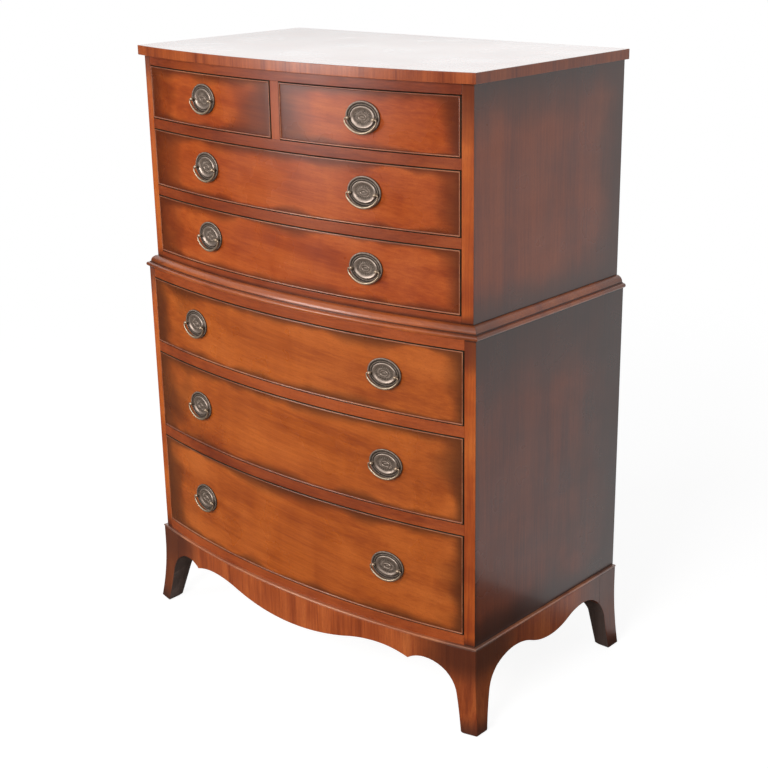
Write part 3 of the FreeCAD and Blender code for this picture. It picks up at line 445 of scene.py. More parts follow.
def round_corners(material, cover, near, far):
    """The share of toner round the four corners of the chest, from far to near in metres."""
    tree = material.node_tree
    here, x, y, z = object_place(tree)
    across = add(tree, "ShaderNodeMath", {0: x}, operation="ABSOLUTE").outputs[0]
    plan = add(tree, "ShaderNodeCombineXYZ", {0: across, 1: y}).outputs[0]
    gaps = [add(tree, "ShaderNodeVectorMath", {0: plan, 1: (corner_x, corner_y, 0)},
                operation="DISTANCE").outputs["Value"]
            for corner_y in (corner_front_y, corner_back_y)]
    gap = add(tree, "ShaderNodeMath", {0: gaps[0], 1: gaps[1]}, operation="MINIMUM").outputs[0]
    patchy = add(tree, "ShaderNodeTexNoise", {"Vector": here, "Scale": 14.0, "Detail": 2.0})
    gap = add(tree, "ShaderNodeMath", {0: patchy.outputs["Fac"], 1: 0.09, 2: gap},
              operation="MULTIPLY_ADD").outputs[0]
    return add(tree, "ShaderNodeMapRange", {
        "Value": gap, "From Min": near, "From Max": far, "To Min": cover, "To Max": 0.0},
        interpolation_type="SMOOTHSTEP").outputs[0]


def dark_line(material, level, above, below, cover):
    """Darkens a finish along a level line, fading above and below it."""
    tree = material.node_tree
    here, x, y, z = object_place(tree)
    over = add(tree, "ShaderNodeMapRange", {
        "Value": z, "From Min": level, "From Max": level + above, "To Min": cover,
        "To Max": 0.0}, interpolation_type="SMOOTHSTEP").outputs[0]
    under = add(tree, "ShaderNodeMapRange", {
        "Value": z, "From Min": level - below, "From Max": level}).outputs[0]
    share = add(tree, "ShaderNodeMath", {0: over, 1: under}, operation="MULTIPLY").outputs[0]
    cover_with(material, share, "#24100A")


print("corners at x = %.3f, y = %.3f and %.3f m" % (corner_x, corner_front_y, corner_back_y))

# %% The finish of the waist moulding
moulding_mahogany = lacquered_mahogany(
    "lacquered_mahogany_moulding", "x", "#78300E", "#AC521E", "#C86E32", coat=0.5, mottle=0.4,
    coat_rough=0.18, relief=0.05)
cover_with(moulding_mahogany, round_corners(moulding_mahogany, 0.55, 0.07, 0.17), "#421C10")
quirk_level = lower_levels[7] + 11 * MM
# painted shade along the quirk of the waist moulding
dark_line(moulding_mahogany, quirk_level, 2.4 * MM, 1.6 * MM, 0.85)
# toner along the foot of the upper case's rails
dark_line(rail_mahogany["upper"], upper_levels[0], 8 * MM, MM, 0.7)
print("dark lines at %.1f and %.1f mm" % (quirk_level / MM, upper_levels[0] / MM))

# %% The finish of the base
base_mahogany = lacquered_mahogany(
    "crossbanded_mahogany_base", "z", "#78300E", "#B05020", "#CC7034", streaks=1.3, bands=1.2,
    mottle=0.3, coat=0.2, coat_rough=0.25, relief=0.05)
tree = base_mahogany.node_tree
here, x, y, z = object_place(tree)
# below the aprons the right front foot stays bright, and the others darken to the floor
bright_foot = (corner_x, corner_front_y, 0.05)
foot_gap = add(tree, "ShaderNodeVectorMath", {0: here, 1: bright_foot},
               operation="DISTANCE").outputs["Value"]
low_cover = add(tree, "ShaderNodeMapRange", {
    "Value": foot_gap, "From Min": 0.1, "From Max": 0.3, "To Min": 0.2,
    "To Max": 0.85}).outputs[0]
height = add(tree, "ShaderNodeMapRange", {"Value": z, "From Min": 0.085, "From Max": 0.15},
             interpolation_type="SMOOTHSTEP").outputs[0]
by_height = add(tree, "ShaderNodeMix", {0: height, 2: low_cover, 3: 1.0}).outputs[0]
toner = add(tree, "ShaderNodeMath", {0: round_corners(base_mahogany, 0.85, 0.1, 0.24),
                                     1: by_height}, operation="MULTIPLY").outputs[0]
cover_with(base_mahogany, toner, "#4A2010")
toe = add(tree, "ShaderNodeMapRange", {
    "Value": z, "From Min": 0.004, "From Max": 0.045, "To Min": 0.8, "To Max": 0.0},
    interpolation_type="SMOOTHSTEP").outputs[0]
cover_with(base_mahogany, toe, "#3C221A")
# the inner faces of the feet are darker and greyer than the outer ones
foot_inside_mahogany = lacquered_mahogany(
    "dark_foot_inside_faces", "z", "#40322C", "#5A4A44", "#6E5C56", mottle=0.4, rough=0.5,
    relief=0.08)
base_bead_mahogany = lacquered_mahogany(
    "lacquered_mahogany_base_bead", "x", "#8E4424", "#B8683C", "#D08A5C", coat=1.0,
    coat_rough=0.25, mottle=0.6, relief=0.04)
cover_with(base_bead_mahogany, round_corners(base_bead_mahogany, 0.7, 0.08, 0.15), "#5A3A30")
print("base finishes:", base_mahogany.name, foot_inside_mahogany.name, base_bead_mahogany.name)

# %% [markdown]
# ## The wood inside, and the metal
# Hidden parts of such a chest are a plain pale hardwood, sanded and left bare, and the back is
# thin plywood. The pulls are stamped brass with a brown patina that stays in the hollows and is
# worn off the high places.

# %% A shader for bare wood


def bare_wood(name, grain, dark, middle, light, rough=0.62, turned=None):
    """Sanded hardwood without a finish: soft bands, fine streaks and next to no gloss.

    Behind y = turned the boards lie across, so x and y change places."""
    material = bpy.data.materials.new(name)
    tree = fresh_tree(material)
    here, x, y, z = object_place(tree)
    if turned:
        across = add(tree, "ShaderNodeCombineXYZ", {0: y, 1: x, 2: z}).outputs[0]
        behind = add(tree, "ShaderNodeMath", {0: y, 1: turned}, operation="GREATER_THAN").outputs[0]
        here = add(tree, "ShaderNodeMix", {0: behind, 4: here, 5: across},
                   data_type="VECTOR").outputs[1]
    band = add(tree, "ShaderNodeTexNoise", {
        "Vector": stretched(tree, here, grain, 1.8, 32), "Scale": 1.0, "Detail": 3.0,
        "Distortion": 0.8}).outputs["Fac"]
    streak = add(tree, "ShaderNodeTexNoise", {
        "Vector": stretched(tree, here, grain, 8, 420), "Scale": 1.0, "Detail": 4.0,
        "Roughness": 0.65}).outputs["Fac"]
    tone = add(tree, "ShaderNodeMath", {0: band, 1: 0.65, 2: 0.0},
               operation="MULTIPLY_ADD").outputs[0]
    tone = add(tree, "ShaderNodeMath", {0: streak, 1: 0.35, 2: tone},
               operation="MULTIPLY_ADD").outputs[0]
    ramp = add(tree, "ShaderNodeValToRGB", {"Fac": tone})
    stops = ramp.color_ramp.elements
    stops[0].position, stops[0].color = 0.34, linear(dark)
    stops[1].position, stops[1].color = 0.66, linear(light)
    stops.new(0.5).color = linear(middle)
    bump = add(tree, "ShaderNodeBump", {"Height": streak, "Strength": 0.3,
                                        "Distance": 0.3 * MM}).outputs[0]
    roughness = add(tree, "ShaderNodeMapRange", {
        "Value": streak, "From Min": 0.3, "From Max": 0.7, "To Min": rough - 0.07,
        "To Max": rough + 0.07}).outputs[0]
    shader = add(tree, "ShaderNodeBsdfPrincipled", {
        "Base Color": ramp.outputs[0], "Roughness": roughness, "Normal": bump,
        "Specular IOR Level": 0.35})
    add(tree, "ShaderNodeOutputMaterial", {"Surface": shader.outputs[0]})
    return material


print("bare wood has no lacquer")

# %% The bare woods
PALE = ("#946A40", "#BA8F5E", "#D3AE7C")
# the back board of each drawer box is 11 mm thick, and there are 22 mm behind it
box_back_front = back_y - (22 + 11 + 0.05) * MM
drawer_side_wood = bare_wood("sanded_oak_drawer_sides", "y", *PALE, turned=box_back_front)
cross_wood = bare_wood("sanded_oak_drawer_backs", "x", *PALE)
frame_wood = bare_wood("sawn_poplar_frames", "x", "#6E5334", "#8E7048", "#A98A5E", rough=0.75)
back_plywood = bare_wood("stained_plywood_back", "z", "#4A3020", "#654630", "#7C5A3E", rough=0.7)
print("bare woods:", drawer_side_wood.name, cross_wood.name, frame_wood.name, back_plywood.name)

# %% [markdown]
# The gap round a closed drawer is a dark line: toner drifted into the drawer openings, and a
# painted shade of the narrow gap deepens it. The wood in there is bare, and gets its toner and
# painted shade by its distance from the bowed front.

# %% Toner and painted shade inside the openings


def toner_and_painted_shade(material, radius):
    """Darkens bare wood in the first 12 to 30 mm behind a bowed front, as toner and painted shade
    of the gap.
    """
    tree = material.node_tree
    here, x, y, z = object_place(tree)
    plan = add(tree, "ShaderNodeCombineXYZ", {0: x, 1: y}).outputs[0]
    out = add(tree, "ShaderNodeVectorMath", {0: plan, 1: (0, bow_y, 0)},
              operation="DISTANCE").outputs["Value"]
    share = add(tree, "ShaderNodeMapRange", {
        "Value": out, "From Min": radius - 30 * MM, "From Max": radius - 12 * MM,
        "To Min": 0.0, "To Max": 0.92}, interpolation_type="SMOOTHSTEP").outputs[0]
    cover_with(material, share, "#170B07")
    return material


# bare wood in the openings, darkened near the front with toner and painted shade of the gap
opening_wood = {
    "upper": toner_and_painted_shade(bare_wood("toner_and_painted_shade_oak_upper", "y", *PALE), upper_radius),
    "lower": toner_and_painted_shade(bare_wood("toner_and_painted_shade_oak_lower", "y", *PALE), bow_radius)}
print("opening wood:", [material.name for material in opening_wood.values()])

# %% A shader for patinated brass


def patinated_brass(name, hollow, brown, worn):
    """Stamped brass with brown patina; the attribute relief is high where it is rubbed bare."""
    material = bpy.data.materials.new(name)
    tree = fresh_tree(material)
    here = add(tree, "ShaderNodeTexCoord").outputs["Object"]
    high = add(tree, "ShaderNodeAttribute", attribute_name="relief").outputs["Fac"]
    # blotches of patina, 2 to 6 mm
    blotch = add(tree, "ShaderNodeTexNoise", {"Vector": here, "Scale": 260.0, "Detail": 4.0,
                                              "Roughness": 0.6}).outputs["Fac"]
    centred = add(tree, "ShaderNodeMath", {0: blotch, 1: -0.5}, operation="ADD").outputs[0]
    wear = add(tree, "ShaderNodeMath", {0: centred, 1: 0.9, 2: high},
               operation="MULTIPLY_ADD").outputs[0]
    ramp = add(tree, "ShaderNodeValToRGB", {"Fac": wear})
    stops = ramp.color_ramp.elements
    stops[0].position, stops[0].color = 0.08, linear(hollow)
    stops[1].position, stops[1].color = 0.92, linear(worn)
    stops.new(0.45).color = linear(brown)
    roughness = add(tree, "ShaderNodeMapRange", {
        "Value": wear, "From Min": 0.1, "From Max": 0.9, "To Min": 0.58,
        "To Max": 0.36}).outputs[0]
    bump = add(tree, "ShaderNodeBump", {"Height": blotch, "Strength": 0.25,
                                        "Distance": 0.15 * MM}).outputs[0]
    # the patina is an oxide, and only the rubbed places are bare metal
    bare = add(tree, "ShaderNodeMapRange", {"Value": wear, "From Min": 0.2, "From Max": 0.7,
                                            "To Min": 0.2, "To Max": 0.8}).outputs[0]
    shader = add(tree, "ShaderNodeBsdfPrincipled", {
        "Base Color": ramp.outputs[0], "Metallic": bare, "Roughness": roughness, "Normal": bump})
    add(tree, "ShaderNodeOutputMaterial", {"Surface": shader.outputs[0]})
    return material


print("brass reads the attribute relief")

# %% The brasses and the steel
plate_brass = patinated_brass("patinated_stamped_brass", "#362A21", "#76675B", "#A8978B")
bail_brass = patinated_brass("worn_cast_brass", "#40342A", "#776552", "#B9A58E")
screw_steel = bpy.data.materials.new("zinc_plated_steel")
tree = fresh_tree(screw_steel)
here = add(tree, "ShaderNodeTexCoord").outputs["Object"]
dull = add(tree, "ShaderNodeTexNoise", {"Vector": here, "Scale": 300.0, "Detail": 3.0})
dullness = add(tree, "ShaderNodeMapRange", {"Value": dull.outputs["Fac"], "From Min": 0.3,
                                            "From Max": 0.7, "To Min": 0.35, "To Max": 0.55})
zinc = add(tree, "ShaderNodeBsdfPrincipled", {
    "Base Color": linear("#9A9A96"), "Metallic": 1.0, "Roughness": dullness.outputs[0]})
add(tree, "ShaderNodeOutputMaterial", {"Surface": zinc.outputs[0]})
print("materials:", len(bpy.data.materials))

# %% [markdown]
# ## A few bench habits
# An operator works on all that is selected, so each step starts with nothing selected. Most
# wooden pieces here start as a flat outline, drawn by extruding one vertex from corner to
# corner, and become a board by one more extrusion, or by a spin about the bow axis. A saw cut
# is a bisect with a plane.

# %% Selecting


def put_all_down():
    if bpy.context.object and bpy.context.object.mode == "EDIT":
        bpy.ops.object.mode_set(mode="OBJECT")
    bpy.ops.object.select_all(action="DESELECT")


def take(piece):
    put_all_down()
    piece.select_set(True)
    bpy.context.view_layer.objects.active = piece


def edit_all(piece):
    take(piece)
    bpy.ops.object.mode_set(mode="EDIT")
    bpy.ops.mesh.select_all(action="SELECT")


put_all_down()
print("selected:", len(bpy.context.selected_objects))

# %% Drawing and sawing


def draw_face(name, points):
    """Draws a closed outline by extruding one vertex, and fills it; left in edit mode."""
    put_all_down()
    points = [Vector(p) for p in points]
    bpy.ops.mesh.primitive_plane_add(size=MM)
    piece = bpy.context.object
    piece.name = name
    bpy.ops.object.mode_set(mode="EDIT")
    bpy.ops.mesh.merge(type="CENTER")
    bpy.ops.transform.translate(value=points[0])
    for here, there in zip(points, points[1:]):
        bpy.ops.mesh.extrude_region_move(TRANSFORM_OT_translate={"value": there - here})
    bpy.ops.mesh.select_all(action="SELECT")
    bpy.ops.mesh.edge_face_add()
    return piece


def extrude(direction):
    bpy.ops.mesh.extrude_region_move(TRANSFORM_OT_translate={"value": direction})


def saw(piece, place, away):
    """Saws a piece through a plane and drops what lies on the far side."""
    edit_all(piece)
    bpy.ops.mesh.bisect(plane_co=place, plane_no=away, use_fill=True, clear_outer=True)


print("an outline is drawn corner by corner, and a board is its extrusion")

# %% Cleaning and easing a mesh


def finish_mesh(piece, arris=0.0, angle=35):
    """Turns the faces outwards, rounds sharp arrises and shades the curved faces smooth."""
    edit_all(piece)
    bpy.ops.mesh.remove_doubles(threshold=0.002 * MM)
    bpy.ops.mesh.normals_make_consistent(inside=False)
    take(piece)
    if arris:
        bevel = piece.modifiers.new("arris", "BEVEL")
        bevel.width = arris
        bevel.segments = 2
        bevel.limit_method = "ANGLE"
        bevel.angle_limit = math.radians(50)
        bpy.ops.object.modifier_apply(modifier=bevel.name)
    bpy.ops.object.shade_smooth_by_angle(angle=math.radians(angle))
    flat = piece.modifiers.new("flat_faces", "WEIGHTED_NORMAL")
    flat.keep_sharp = True
    bpy.ops.object.modifier_apply(modifier=flat.name)
    return piece


def ease_edges(piece, width, at_joint):
    """Rounds the sharp edges of a board, but not those that meet the next board at a joint."""
    take(piece)
    bpy.ops.object.mode_set(mode="EDIT")
    bpy.ops.mesh.select_mode(type="EDGE")
    bpy.ops.mesh.select_all(action="DESELECT")
    bpy.ops.mesh.edges_select_sharp(sharpness=math.radians(50))
    bpy.ops.object.mode_set(mode="OBJECT")
    for edge in piece.data.edges:
        if all(at_joint(piece.data.vertices[i].co) for i in edge.vertices):
            edge.select = False
    bpy.ops.object.mode_set(mode="EDIT")
    bpy.ops.mesh.bevel(offset=width, segments=2)
    bpy.ops.mesh.select_mode(type="VERT")
    put_all_down()


print("an arris is the sharp edge of a board")

# %% Measuring, joining and copying


def measure(piece):
    """Prints a piece's size and its count of open edges, which should be none."""
    uses = {}
    for face in piece.data.polygons:
        for key in face.edge_keys:
            uses[key] = uses.get(key, 0) + 1
    open_edges = sum(1 for count in uses.values() if count == 1)
    size = " x ".join("%.1f" % (length / MM) for length in piece.dimensions)
    print("%-26s %s mm, %d faces, %d open edges"
          % (piece.name, size, len(piece.data.polygons), open_edges))


def join(name, pieces):
    take(pieces[0])
    for piece in pieces:
        piece.select_set(True)
    bpy.ops.object.join()
    pieces[0].name = name
    return pieces[0]


def another(piece, name):
    """A copy with a mesh of its own."""
    copy = piece.copy()
    copy.data = piece.data.copy()
    copy.name = name
    bpy.context.scene.collection.objects.link(copy)
    return copy


def mirror_copy(piece, name):
    copy = another(piece, name)
    copy.data.transform(Matrix.Scale(-1, 4, Vector((1, 0, 0))))
    edit_all(copy)
    bpy.ops.mesh.normals_make_consistent(inside=False)
    put_all_down()
    return copy


print("a copy gets a mesh of its own")

# %% Dressing a piece


def dress(piece, body, material, nodes=()):
    """Gives a finished piece its finish and its body, and hides the imported nodes that it stands
    for.
    """
    if not piece.data.materials:
        piece.data.materials.append(material)
    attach(piece, body)
    if nodes:
        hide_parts(*nodes)
    measure(piece)


def paint(piece, material, chosen):
    """Gives a second finish to the faces that a test on their normal and centre picks."""
    piece.data.materials.append(material)
    index = len(piece.data.materials) - 1
    for face in piece.data.polygons:
        if chosen(face.normal, face.center):
            face.material_index = index


def map_board(piece, across, upward):
    """Writes a UV map in metres from the board's lower left corner, and the board's size."""
    mesh = piece.data
    places = [(across(v.co), upward(v.co)) for v in mesh.vertices]
    u0, v0 = min(p[0] for p in places), min(p[1] for p in places)
    width, height = max(p[0] for p in places) - u0, max(p[1] for p in places) - v0
    layer = mesh.uv_layers.new(name="face")
    for loop in mesh.loops:
        u, v = places[loop.vertex_index]
        layer.data[loop.index].uv = (u - u0, v - v0)
    size = mesh.attributes.new("board_size", "FLOAT_VECTOR", "POINT")
    size.data.foreach_set("vector", [width, height, 0.0] * len(mesh.vertices))


print("bench ready")

# %% [markdown]
# ## The bowed boards
# Rails, the top and the stile between the short drawers are boards with a bowed front edge and a
# straight back. One could bend a straight board, but a real one is sawn to the curve, so here
# the curve is part of the outline and the board keeps its straight back.

# %% The top


def bow_board(name, radius, x0, x1, back, z0, z1, steps):
    """Draws the plan of a bowed board and extrudes it to its thickness."""
    xs = [x0 + (x1 - x0) * i / steps for i in range(steps + 1)]
    plan = [(x, front_y(radius, x), z0) for x in xs] + [(x1, back, z0), (x0, back, z0)]
    piece = draw_face(name, plan)
    extrude((0, 0, z1 - z0))
    return piece


side_overhang, front_overhang = 10.5 * MM, 11.5 * MM
top_half = upper_half + side_overhang
top_radius = upper_radius + front_overhang
top = bow_board("top_board", top_radius, -top_half, top_half, back_y, upper_levels[7],
                top_height, 72)
finish_mesh(top, arris=1.4 * MM)
top.data.materials.append(top_mahogany)
paint(top, crossband_mahogany, lambda normal, centre: abs(normal.z) < 0.8)
dress(top, "case", None, ["top"])

# %% The front rails
rail_depth = 45 * MM              # at the corner of the case; in the middle a rail is deeper
rail_to_corner = 23 * MM


def front_rails(part, radius, half_inner, levels):
    """The four rails of a case, with bare wood above and below."""
    name = part + "_rails"
    back = front_y(radius, half_inner + rail_to_corner) + rail_depth
    boards = [bow_board(name, radius, -half_inner, half_inner, back, levels[i], levels[i + 1], 64)
              for i in range(0, 8, 2)]
    for board in boards:
        finish_mesh(board, arris=0.5 * MM)
    rails = join(name, boards)
    rails.data.materials.append(rail_mahogany[part])
    # the tops and bottoms of the rails get toner and painted shade near the front
    paint(rails, opening_wood[part], lambda normal, centre: abs(normal.z) > 0.8)
    dress(rails, "case", None, [part + "_front_rails"])


upper_inner = upper_half - side_thickness["upper"]
lower_inner = lower_half - side_thickness["lower"]
front_rails("upper", upper_radius, upper_inner, upper_levels)
front_rails("lower", bow_radius, lower_inner, lower_levels)

# %% The divider between the short drawers


def flat_board(name, x0, x1, y0, y1, z0, z1):
    """A straight board, drawn in plan and extruded to its height."""
    piece = draw_face(name, [(x0, y0, z0), (x1, y0, z0), (x1, y1, z0), (x0, y1, z0)])
    extrude((0, 0, z1 - z0))
    return piece


stile_half = 11.5 * MM
partition_half = 10 * MM
stile_back = front_y(upper_radius, upper_half) + rail_depth
stile = bow_board("divider_stile", upper_radius, -stile_half, stile_half, stile_back,
                  upper_levels[5], upper_levels[6], 4)
finish_mesh(stile, arris=0.4 * MM)
stile.data.materials.append(divider_mahogany)
# the sides of the stile get toner and painted shade near the front
paint(stile, opening_wood["upper"], lambda normal, centre: abs(normal.x) > 0.8)
partition = flat_board("divider_board", -partition_half, partition_half, stile_back,
                       back_y - back_thickness, upper_levels[5], upper_levels[6])
finish_mesh(partition, arris=0.3 * MM)
partition.data.materials.append(drawer_side_wood)
divider = join("short_divider", [stile, partition])
dress(divider, "case", None, ["short_drawer_divider"])

# %% [markdown]
# ## The case sides
# Each side is a solid board whose front end shows as a stile beside the drawers, sawn to the
# bow. Behind, a rebate takes the back panel. The plan is drawn once for each case, extruded to
# its height, and copied by mirroring for the left side.

# %% Sides of the two cases
rebate_width = 10.5 * MM


def case_side(name, radius, half, thickness, z0, z1):
    """The right side of a case, with a bowed front end and a rebate for the back panel."""
    inner = half - thickness
    rebate, panel_y = inner + rebate_width, back_y - back_thickness
    xs = [inner + thickness * i / 4 for i in range(5)]
    plan = [(x, front_y(radius, x), z0) for x in xs]
    plan += [(half, back_y, z0), (rebate, back_y, z0), (rebate, panel_y, z0),
             (inner, panel_y, z0)]
    piece = draw_face(name, plan)
    extrude((0, 0, z1 - z0))
    return finish_mesh(piece, arris=0.9 * MM)


for part, radius, half, z0, z1 in (("upper", upper_radius, upper_half, upper_levels[0],
                                    upper_levels[7]),
                                   ("lower", bow_radius, lower_half, lower_levels[0],
                                    lower_levels[7])):
    right_side = case_side(part + "_side_right", radius, half, side_thickness[part], z0, z1)
    left_side = mirror_copy(right_side, part + "_side_left")
    for side, hand in ((right_side, "right"), (left_side, "left")):
        map_board(side, lambda co: co.y, lambda co: co.z)
        side.data.materials.append(side_mahogany[part])
        paint(side, stile_mahogany, lambda normal, centre: normal.y < -0.8)
        inward = -1 if hand == "right" else 1
        # the inner face gets toner and painted shade near the front
        paint(side, opening_wood[part], lambda normal, centre: normal.x * inward > 0.8)
        paint(side, back_plywood, lambda normal, centre: normal.y > 0.8)
        dress(side, "case", None, ["%s_%s_side" % (part, hand)])

# %% [markdown]
# ## Drawer fronts
# A drawer front is a veneered bowed board with a thin rounded bead, the cock bead, let into a
# rebate all round. A section drawn as a face and spun about the bow axis gives the even curve;
# two saw cuts make its ends square to the chest. The face stops short of the bead and has
# softened edges, so that a dark line of polish and dust settles between the two, deepened by a
# painted shade along the face's edge.

# %% Spinning a section about the bow axis


def spin_on_bow(name, section, half_reach, radius, steps):
    """Spins a section of (radius, z) pairs about the bow axis, past both sides of the chest."""
    start = -math.asin(half_reach / radius)
    piece = draw_face(name, [on_bow(r, start, z) for r, z in section])
    # with no window a spin about +Z turns clockwise, so the axis points down
    bpy.ops.mesh.spin(steps=steps, angle=-2 * start, center=(0, bow_y, 0), axis=(0, 0, -1))
    return piece


def spun_board(name, radius, depth, x0, x1, z0, z1, steps):
    """A board of even thickness with a bowed face and ends square to the chest."""
    section = [(radius, z0), (radius - depth, z0), (radius - depth, z1), (radius, z1)]
    reach = max(abs(x0), abs(x1)) + 8 * MM
    piece = spin_on_bow(name, section, reach, radius, steps)
    saw(piece, (x1, 0, 0), (1, 0, 0))
    saw(piece, (x0, 0, 0), (-1, 0, 0))
    return piece


print("the bow axis stands at x = 0, y = %.0f mm" % (bow_y / MM))

# %% The cock beads
bead_width = 3.2 * MM
bead_proud = 1.5 * MM
bead_depth = 7 * MM


def nose(width, count=6):
    """The rounded nose of a bead, as (across, out) pairs for a half circle."""
    turns = [math.pi * i / count for i in range(count + 1)]
    half = width / 2
    return [(half - half * math.cos(a), half * math.sin(a)) for a in turns]


def cock_beads(name, radius, x0, x1, z0, z1, steps):
    """Four bead strips, mitred at the corners of a drawer front."""
    w = bead_width
    root, crown = radius - bead_depth, radius + bead_proud - w / 2
    strips = []
    for low in (z0, z1 - w):
        section = [(root, low)] + [(crown + out, low + across) for across, out in nose(w)]
        section += [(root, low + w)]
        strip = spin_on_bow(name, section, max(abs(x0), abs(x1)) + 8 * MM, radius, steps)
        slope = 1 if low == z0 else -1
        edge = z0 if low == z0 else z1
        saw(strip, (x1, 0, edge), (1, 0, slope))
        saw(strip, (x0, 0, edge), (-1, 0, slope))
        strips.append(strip)
    for left in (x0, x1 - w):
        section = [(left, front_y(root, left), z0)]
        section += [(left + across, front_y(crown + out, left + across), z0)
                    for across, out in nose(w)]
        section += [(left + w, front_y(root, left + w), z0)]
        strip = draw_face(name, section)
        extrude((0, 0, z1 - z0))
        slope = -1 if left == x0 else 1
        edge = x0 if left == x0 else x1
        saw(strip, (edge, 0, z1), (slope * -1, 0, 1))
        saw(strip, (edge, 0, z0), (slope * -1, 0, -1))
        strips.append(strip)
    for strip in strips:
        finish_mesh(strip)
    return join(name, strips)


print("cock beads %.1f mm wide stand %.1f mm proud" % (bead_width / MM, bead_proud / MM))

# %% All seven drawer fronts
drawer_gap = 1.5 * MM             # round a closed drawer, in its opening
core_depth = 13 * MM
dovetail_gap = 0.3 * MM           # the core ends just inside the dovetails of the drawer's sides
veneer_gap = 0.1 * MM             # between the veneered face and its beads
bead_edge_toner_and_shade = 0.6 * MM           # the outer edge of a bead that caught the toner, with painted shade of the gap
drawers = [("top_left_drawer", "upper", -upper_inner, -stile_half, 5, [-220]),
           ("top_right_drawer", "upper", stile_half, upper_inner, 5, [220]),
           ("second_drawer", "upper", -upper_inner, upper_inner, 3, [-220, 220]),
           ("third_drawer", "upper", -upper_inner, upper_inner, 1, [-220, 220]),
           ("fourth_drawer", "lower", -lower_inner, lower_inner, 5, [-271.5, 271.5]),
           ("fifth_drawer", "lower", -lower_inner, lower_inner, 3, [-271.5, 271.5]),
           ("bottom_drawer", "lower", -lower_inner, lower_inner, 1, [-271.5, 271.5])]
bead_mahogany = lacquered_mahogany(
    "rubbed_mahogany_cock_bead", "x", "#703018", "#A05430", "#C08058", coat=1.0,
    coat_rough=0.22, mottle=0.3, relief=0.04)
for name, part, x0, x1, level_index, handles in drawers:
    radius = upper_radius if part == "upper" else bow_radius
    levels = upper_levels if part == "upper" else lower_levels
    left, right_end = x0 + drawer_gap, x1 - drawer_gap
    low, high = levels[level_index] + drawer_gap, levels[level_index + 1] - drawer_gap
    steps = round((x1 - x0) / (12 * MM))
    core = spun_board(name + "_core", radius - bead_depth, core_depth, left + dovetail_gap,
                      right_end - dovetail_gap, low, high, steps)
    finish_mesh(core)
    w = bead_width + veneer_gap
    face = spun_board(name + "_veneer", radius, bead_depth, left + w, right_end - w, low + w,
                      high - w, steps)
    finish_mesh(face, arris=0.7 * MM)
    board = join(name + "_board", [face, core])
    map_board(board, lambda co, r=radius: r * math.asin(co.x / r), lambda co: co.z)
    finish = "upper_left" if name == "top_left_drawer" else part
    board.data.materials.append(drawer_mahogany[finish])
    paint(board, rail_mahogany[part], lambda normal, centre: abs(normal.y) < 0.3)
    paint(board, cross_wood, lambda normal, centre: normal.y > 0.7)
    dress(board, name, None, [name + "_front"])
    beads = cock_beads(name + "_cock_bead", radius, left, right_end, low, high, steps)
    beads.data.materials.append(bead_mahogany)
    # the outer edges of the beads get toner and painted shade of the gap
    paint(beads, opening_wood[part], lambda normal, centre: (
        abs(normal.z) > 0.69 and min(centre.z - low, high - centre.z) < bead_edge_toner_and_shade) or (
        abs(normal.x) > 0.69 and min(centre.x - left, right_end - centre.x) < bead_edge_toner_and_shade))
    dress(beads, name, None, [name + "_front"])

# %% [markdown]
# ## The waist moulding
# Where the upper case steps back, a moulding turns the change of width into an ovolo, a quirk, a
# fillet and a half-round bead. Its section is drawn corner by corner. The front run is spun
# about the bow axis, the side runs are straight, and both are sawn on the same mitre.

# %% The section of the moulding
waist_bottom, waist_top = lower_levels[7], upper_levels[0]
waist_inner = -(waist_set_in + side_thickness["upper"])


def arc_points(a, b, bulge, count):
    """Points of the arc from a to b that stands out by bulge to the left of the way."""
    a, b = Vector(a), Vector(b)
    chord = b - a
    out = Vector((-chord.y, chord.x)).normalized()
    radius = (chord.length ** 2 / 4 + bulge ** 2) / (2 * bulge)
    centre = (a + b) / 2 - out * (radius - bulge)
    start = a - centre
    sweep = -2 * math.asin(chord.length / 2 / radius)
    turns = [sweep * i / count for i in range(count + 1)]
    return [centre + Vector((start.x * math.cos(t) - start.y * math.sin(t),
                             start.x * math.sin(t) + start.y * math.cos(t))) for t in turns]


def half_round(centre, out, rise, count):
    """Points of a bead's round nose, from its top to its bottom."""
    turns = [math.pi / 2 - math.pi * i / count for i in range(count + 1)]
    return [Vector((centre[0] + out * math.cos(t), centre[1] + rise * math.sin(t)))
            for t in turns]


ovolo = arc_points((-14.85 * MM, 25 * MM), (-3.2 * MM, 12.4 * MM), 2.9 * MM, 10)
quirk = [Vector((out * MM, up * MM)) for out, up in ((-3.2, 11.3), (-0.9, 11.3), (-0.9, 9.7))]
waist_section = [Vector((0, 0)), Vector((waist_inner, 0)), Vector((waist_inner, 25 * MM))]
waist_section += ovolo + quirk + half_round((0.9 * MM, 5.1 * MM), 4.6 * MM, 4.6 * MM, 10)
waist_section += [Vector((0, 0.5 * MM))]
print("the waist moulding's section has", len(waist_section), "corners")

# %% Spinning and sawing mitred runs
mitre_in = Vector((lower_half + 1.5 * waist_inner,
                   front_y(bow_radius + 1.5 * waist_inner, lower_half + 1.5 * waist_inner), 0))
mitre_out = Vector((lower_half - 2 * waist_inner,
                    front_y(bow_radius - 2 * waist_inner, lower_half - 2 * waist_inner), 0))
mitre_along = (mitre_out - mitre_in).normalized()
mitre_front = Vector((mitre_along.y, -mitre_along.x, 0))    # points to the front part
if mitre_front.y > 0:
    mitre_front = -mitre_front


def mitred_front(name, section, z, steps):
    """The bowed front run of a moulding, sawn on both mitres."""
    run = spin_on_bow(name, [(bow_radius + out, z + up) for out, up in section],
                      lower_half + 45 * MM, bow_radius, steps)
    saw(run, mitre_in, -mitre_front)
    other = Vector((-mitre_in.x, mitre_in.y, 0))
    saw(run, other, Vector((mitre_front.x, -mitre_front.y, 0)))
    return run


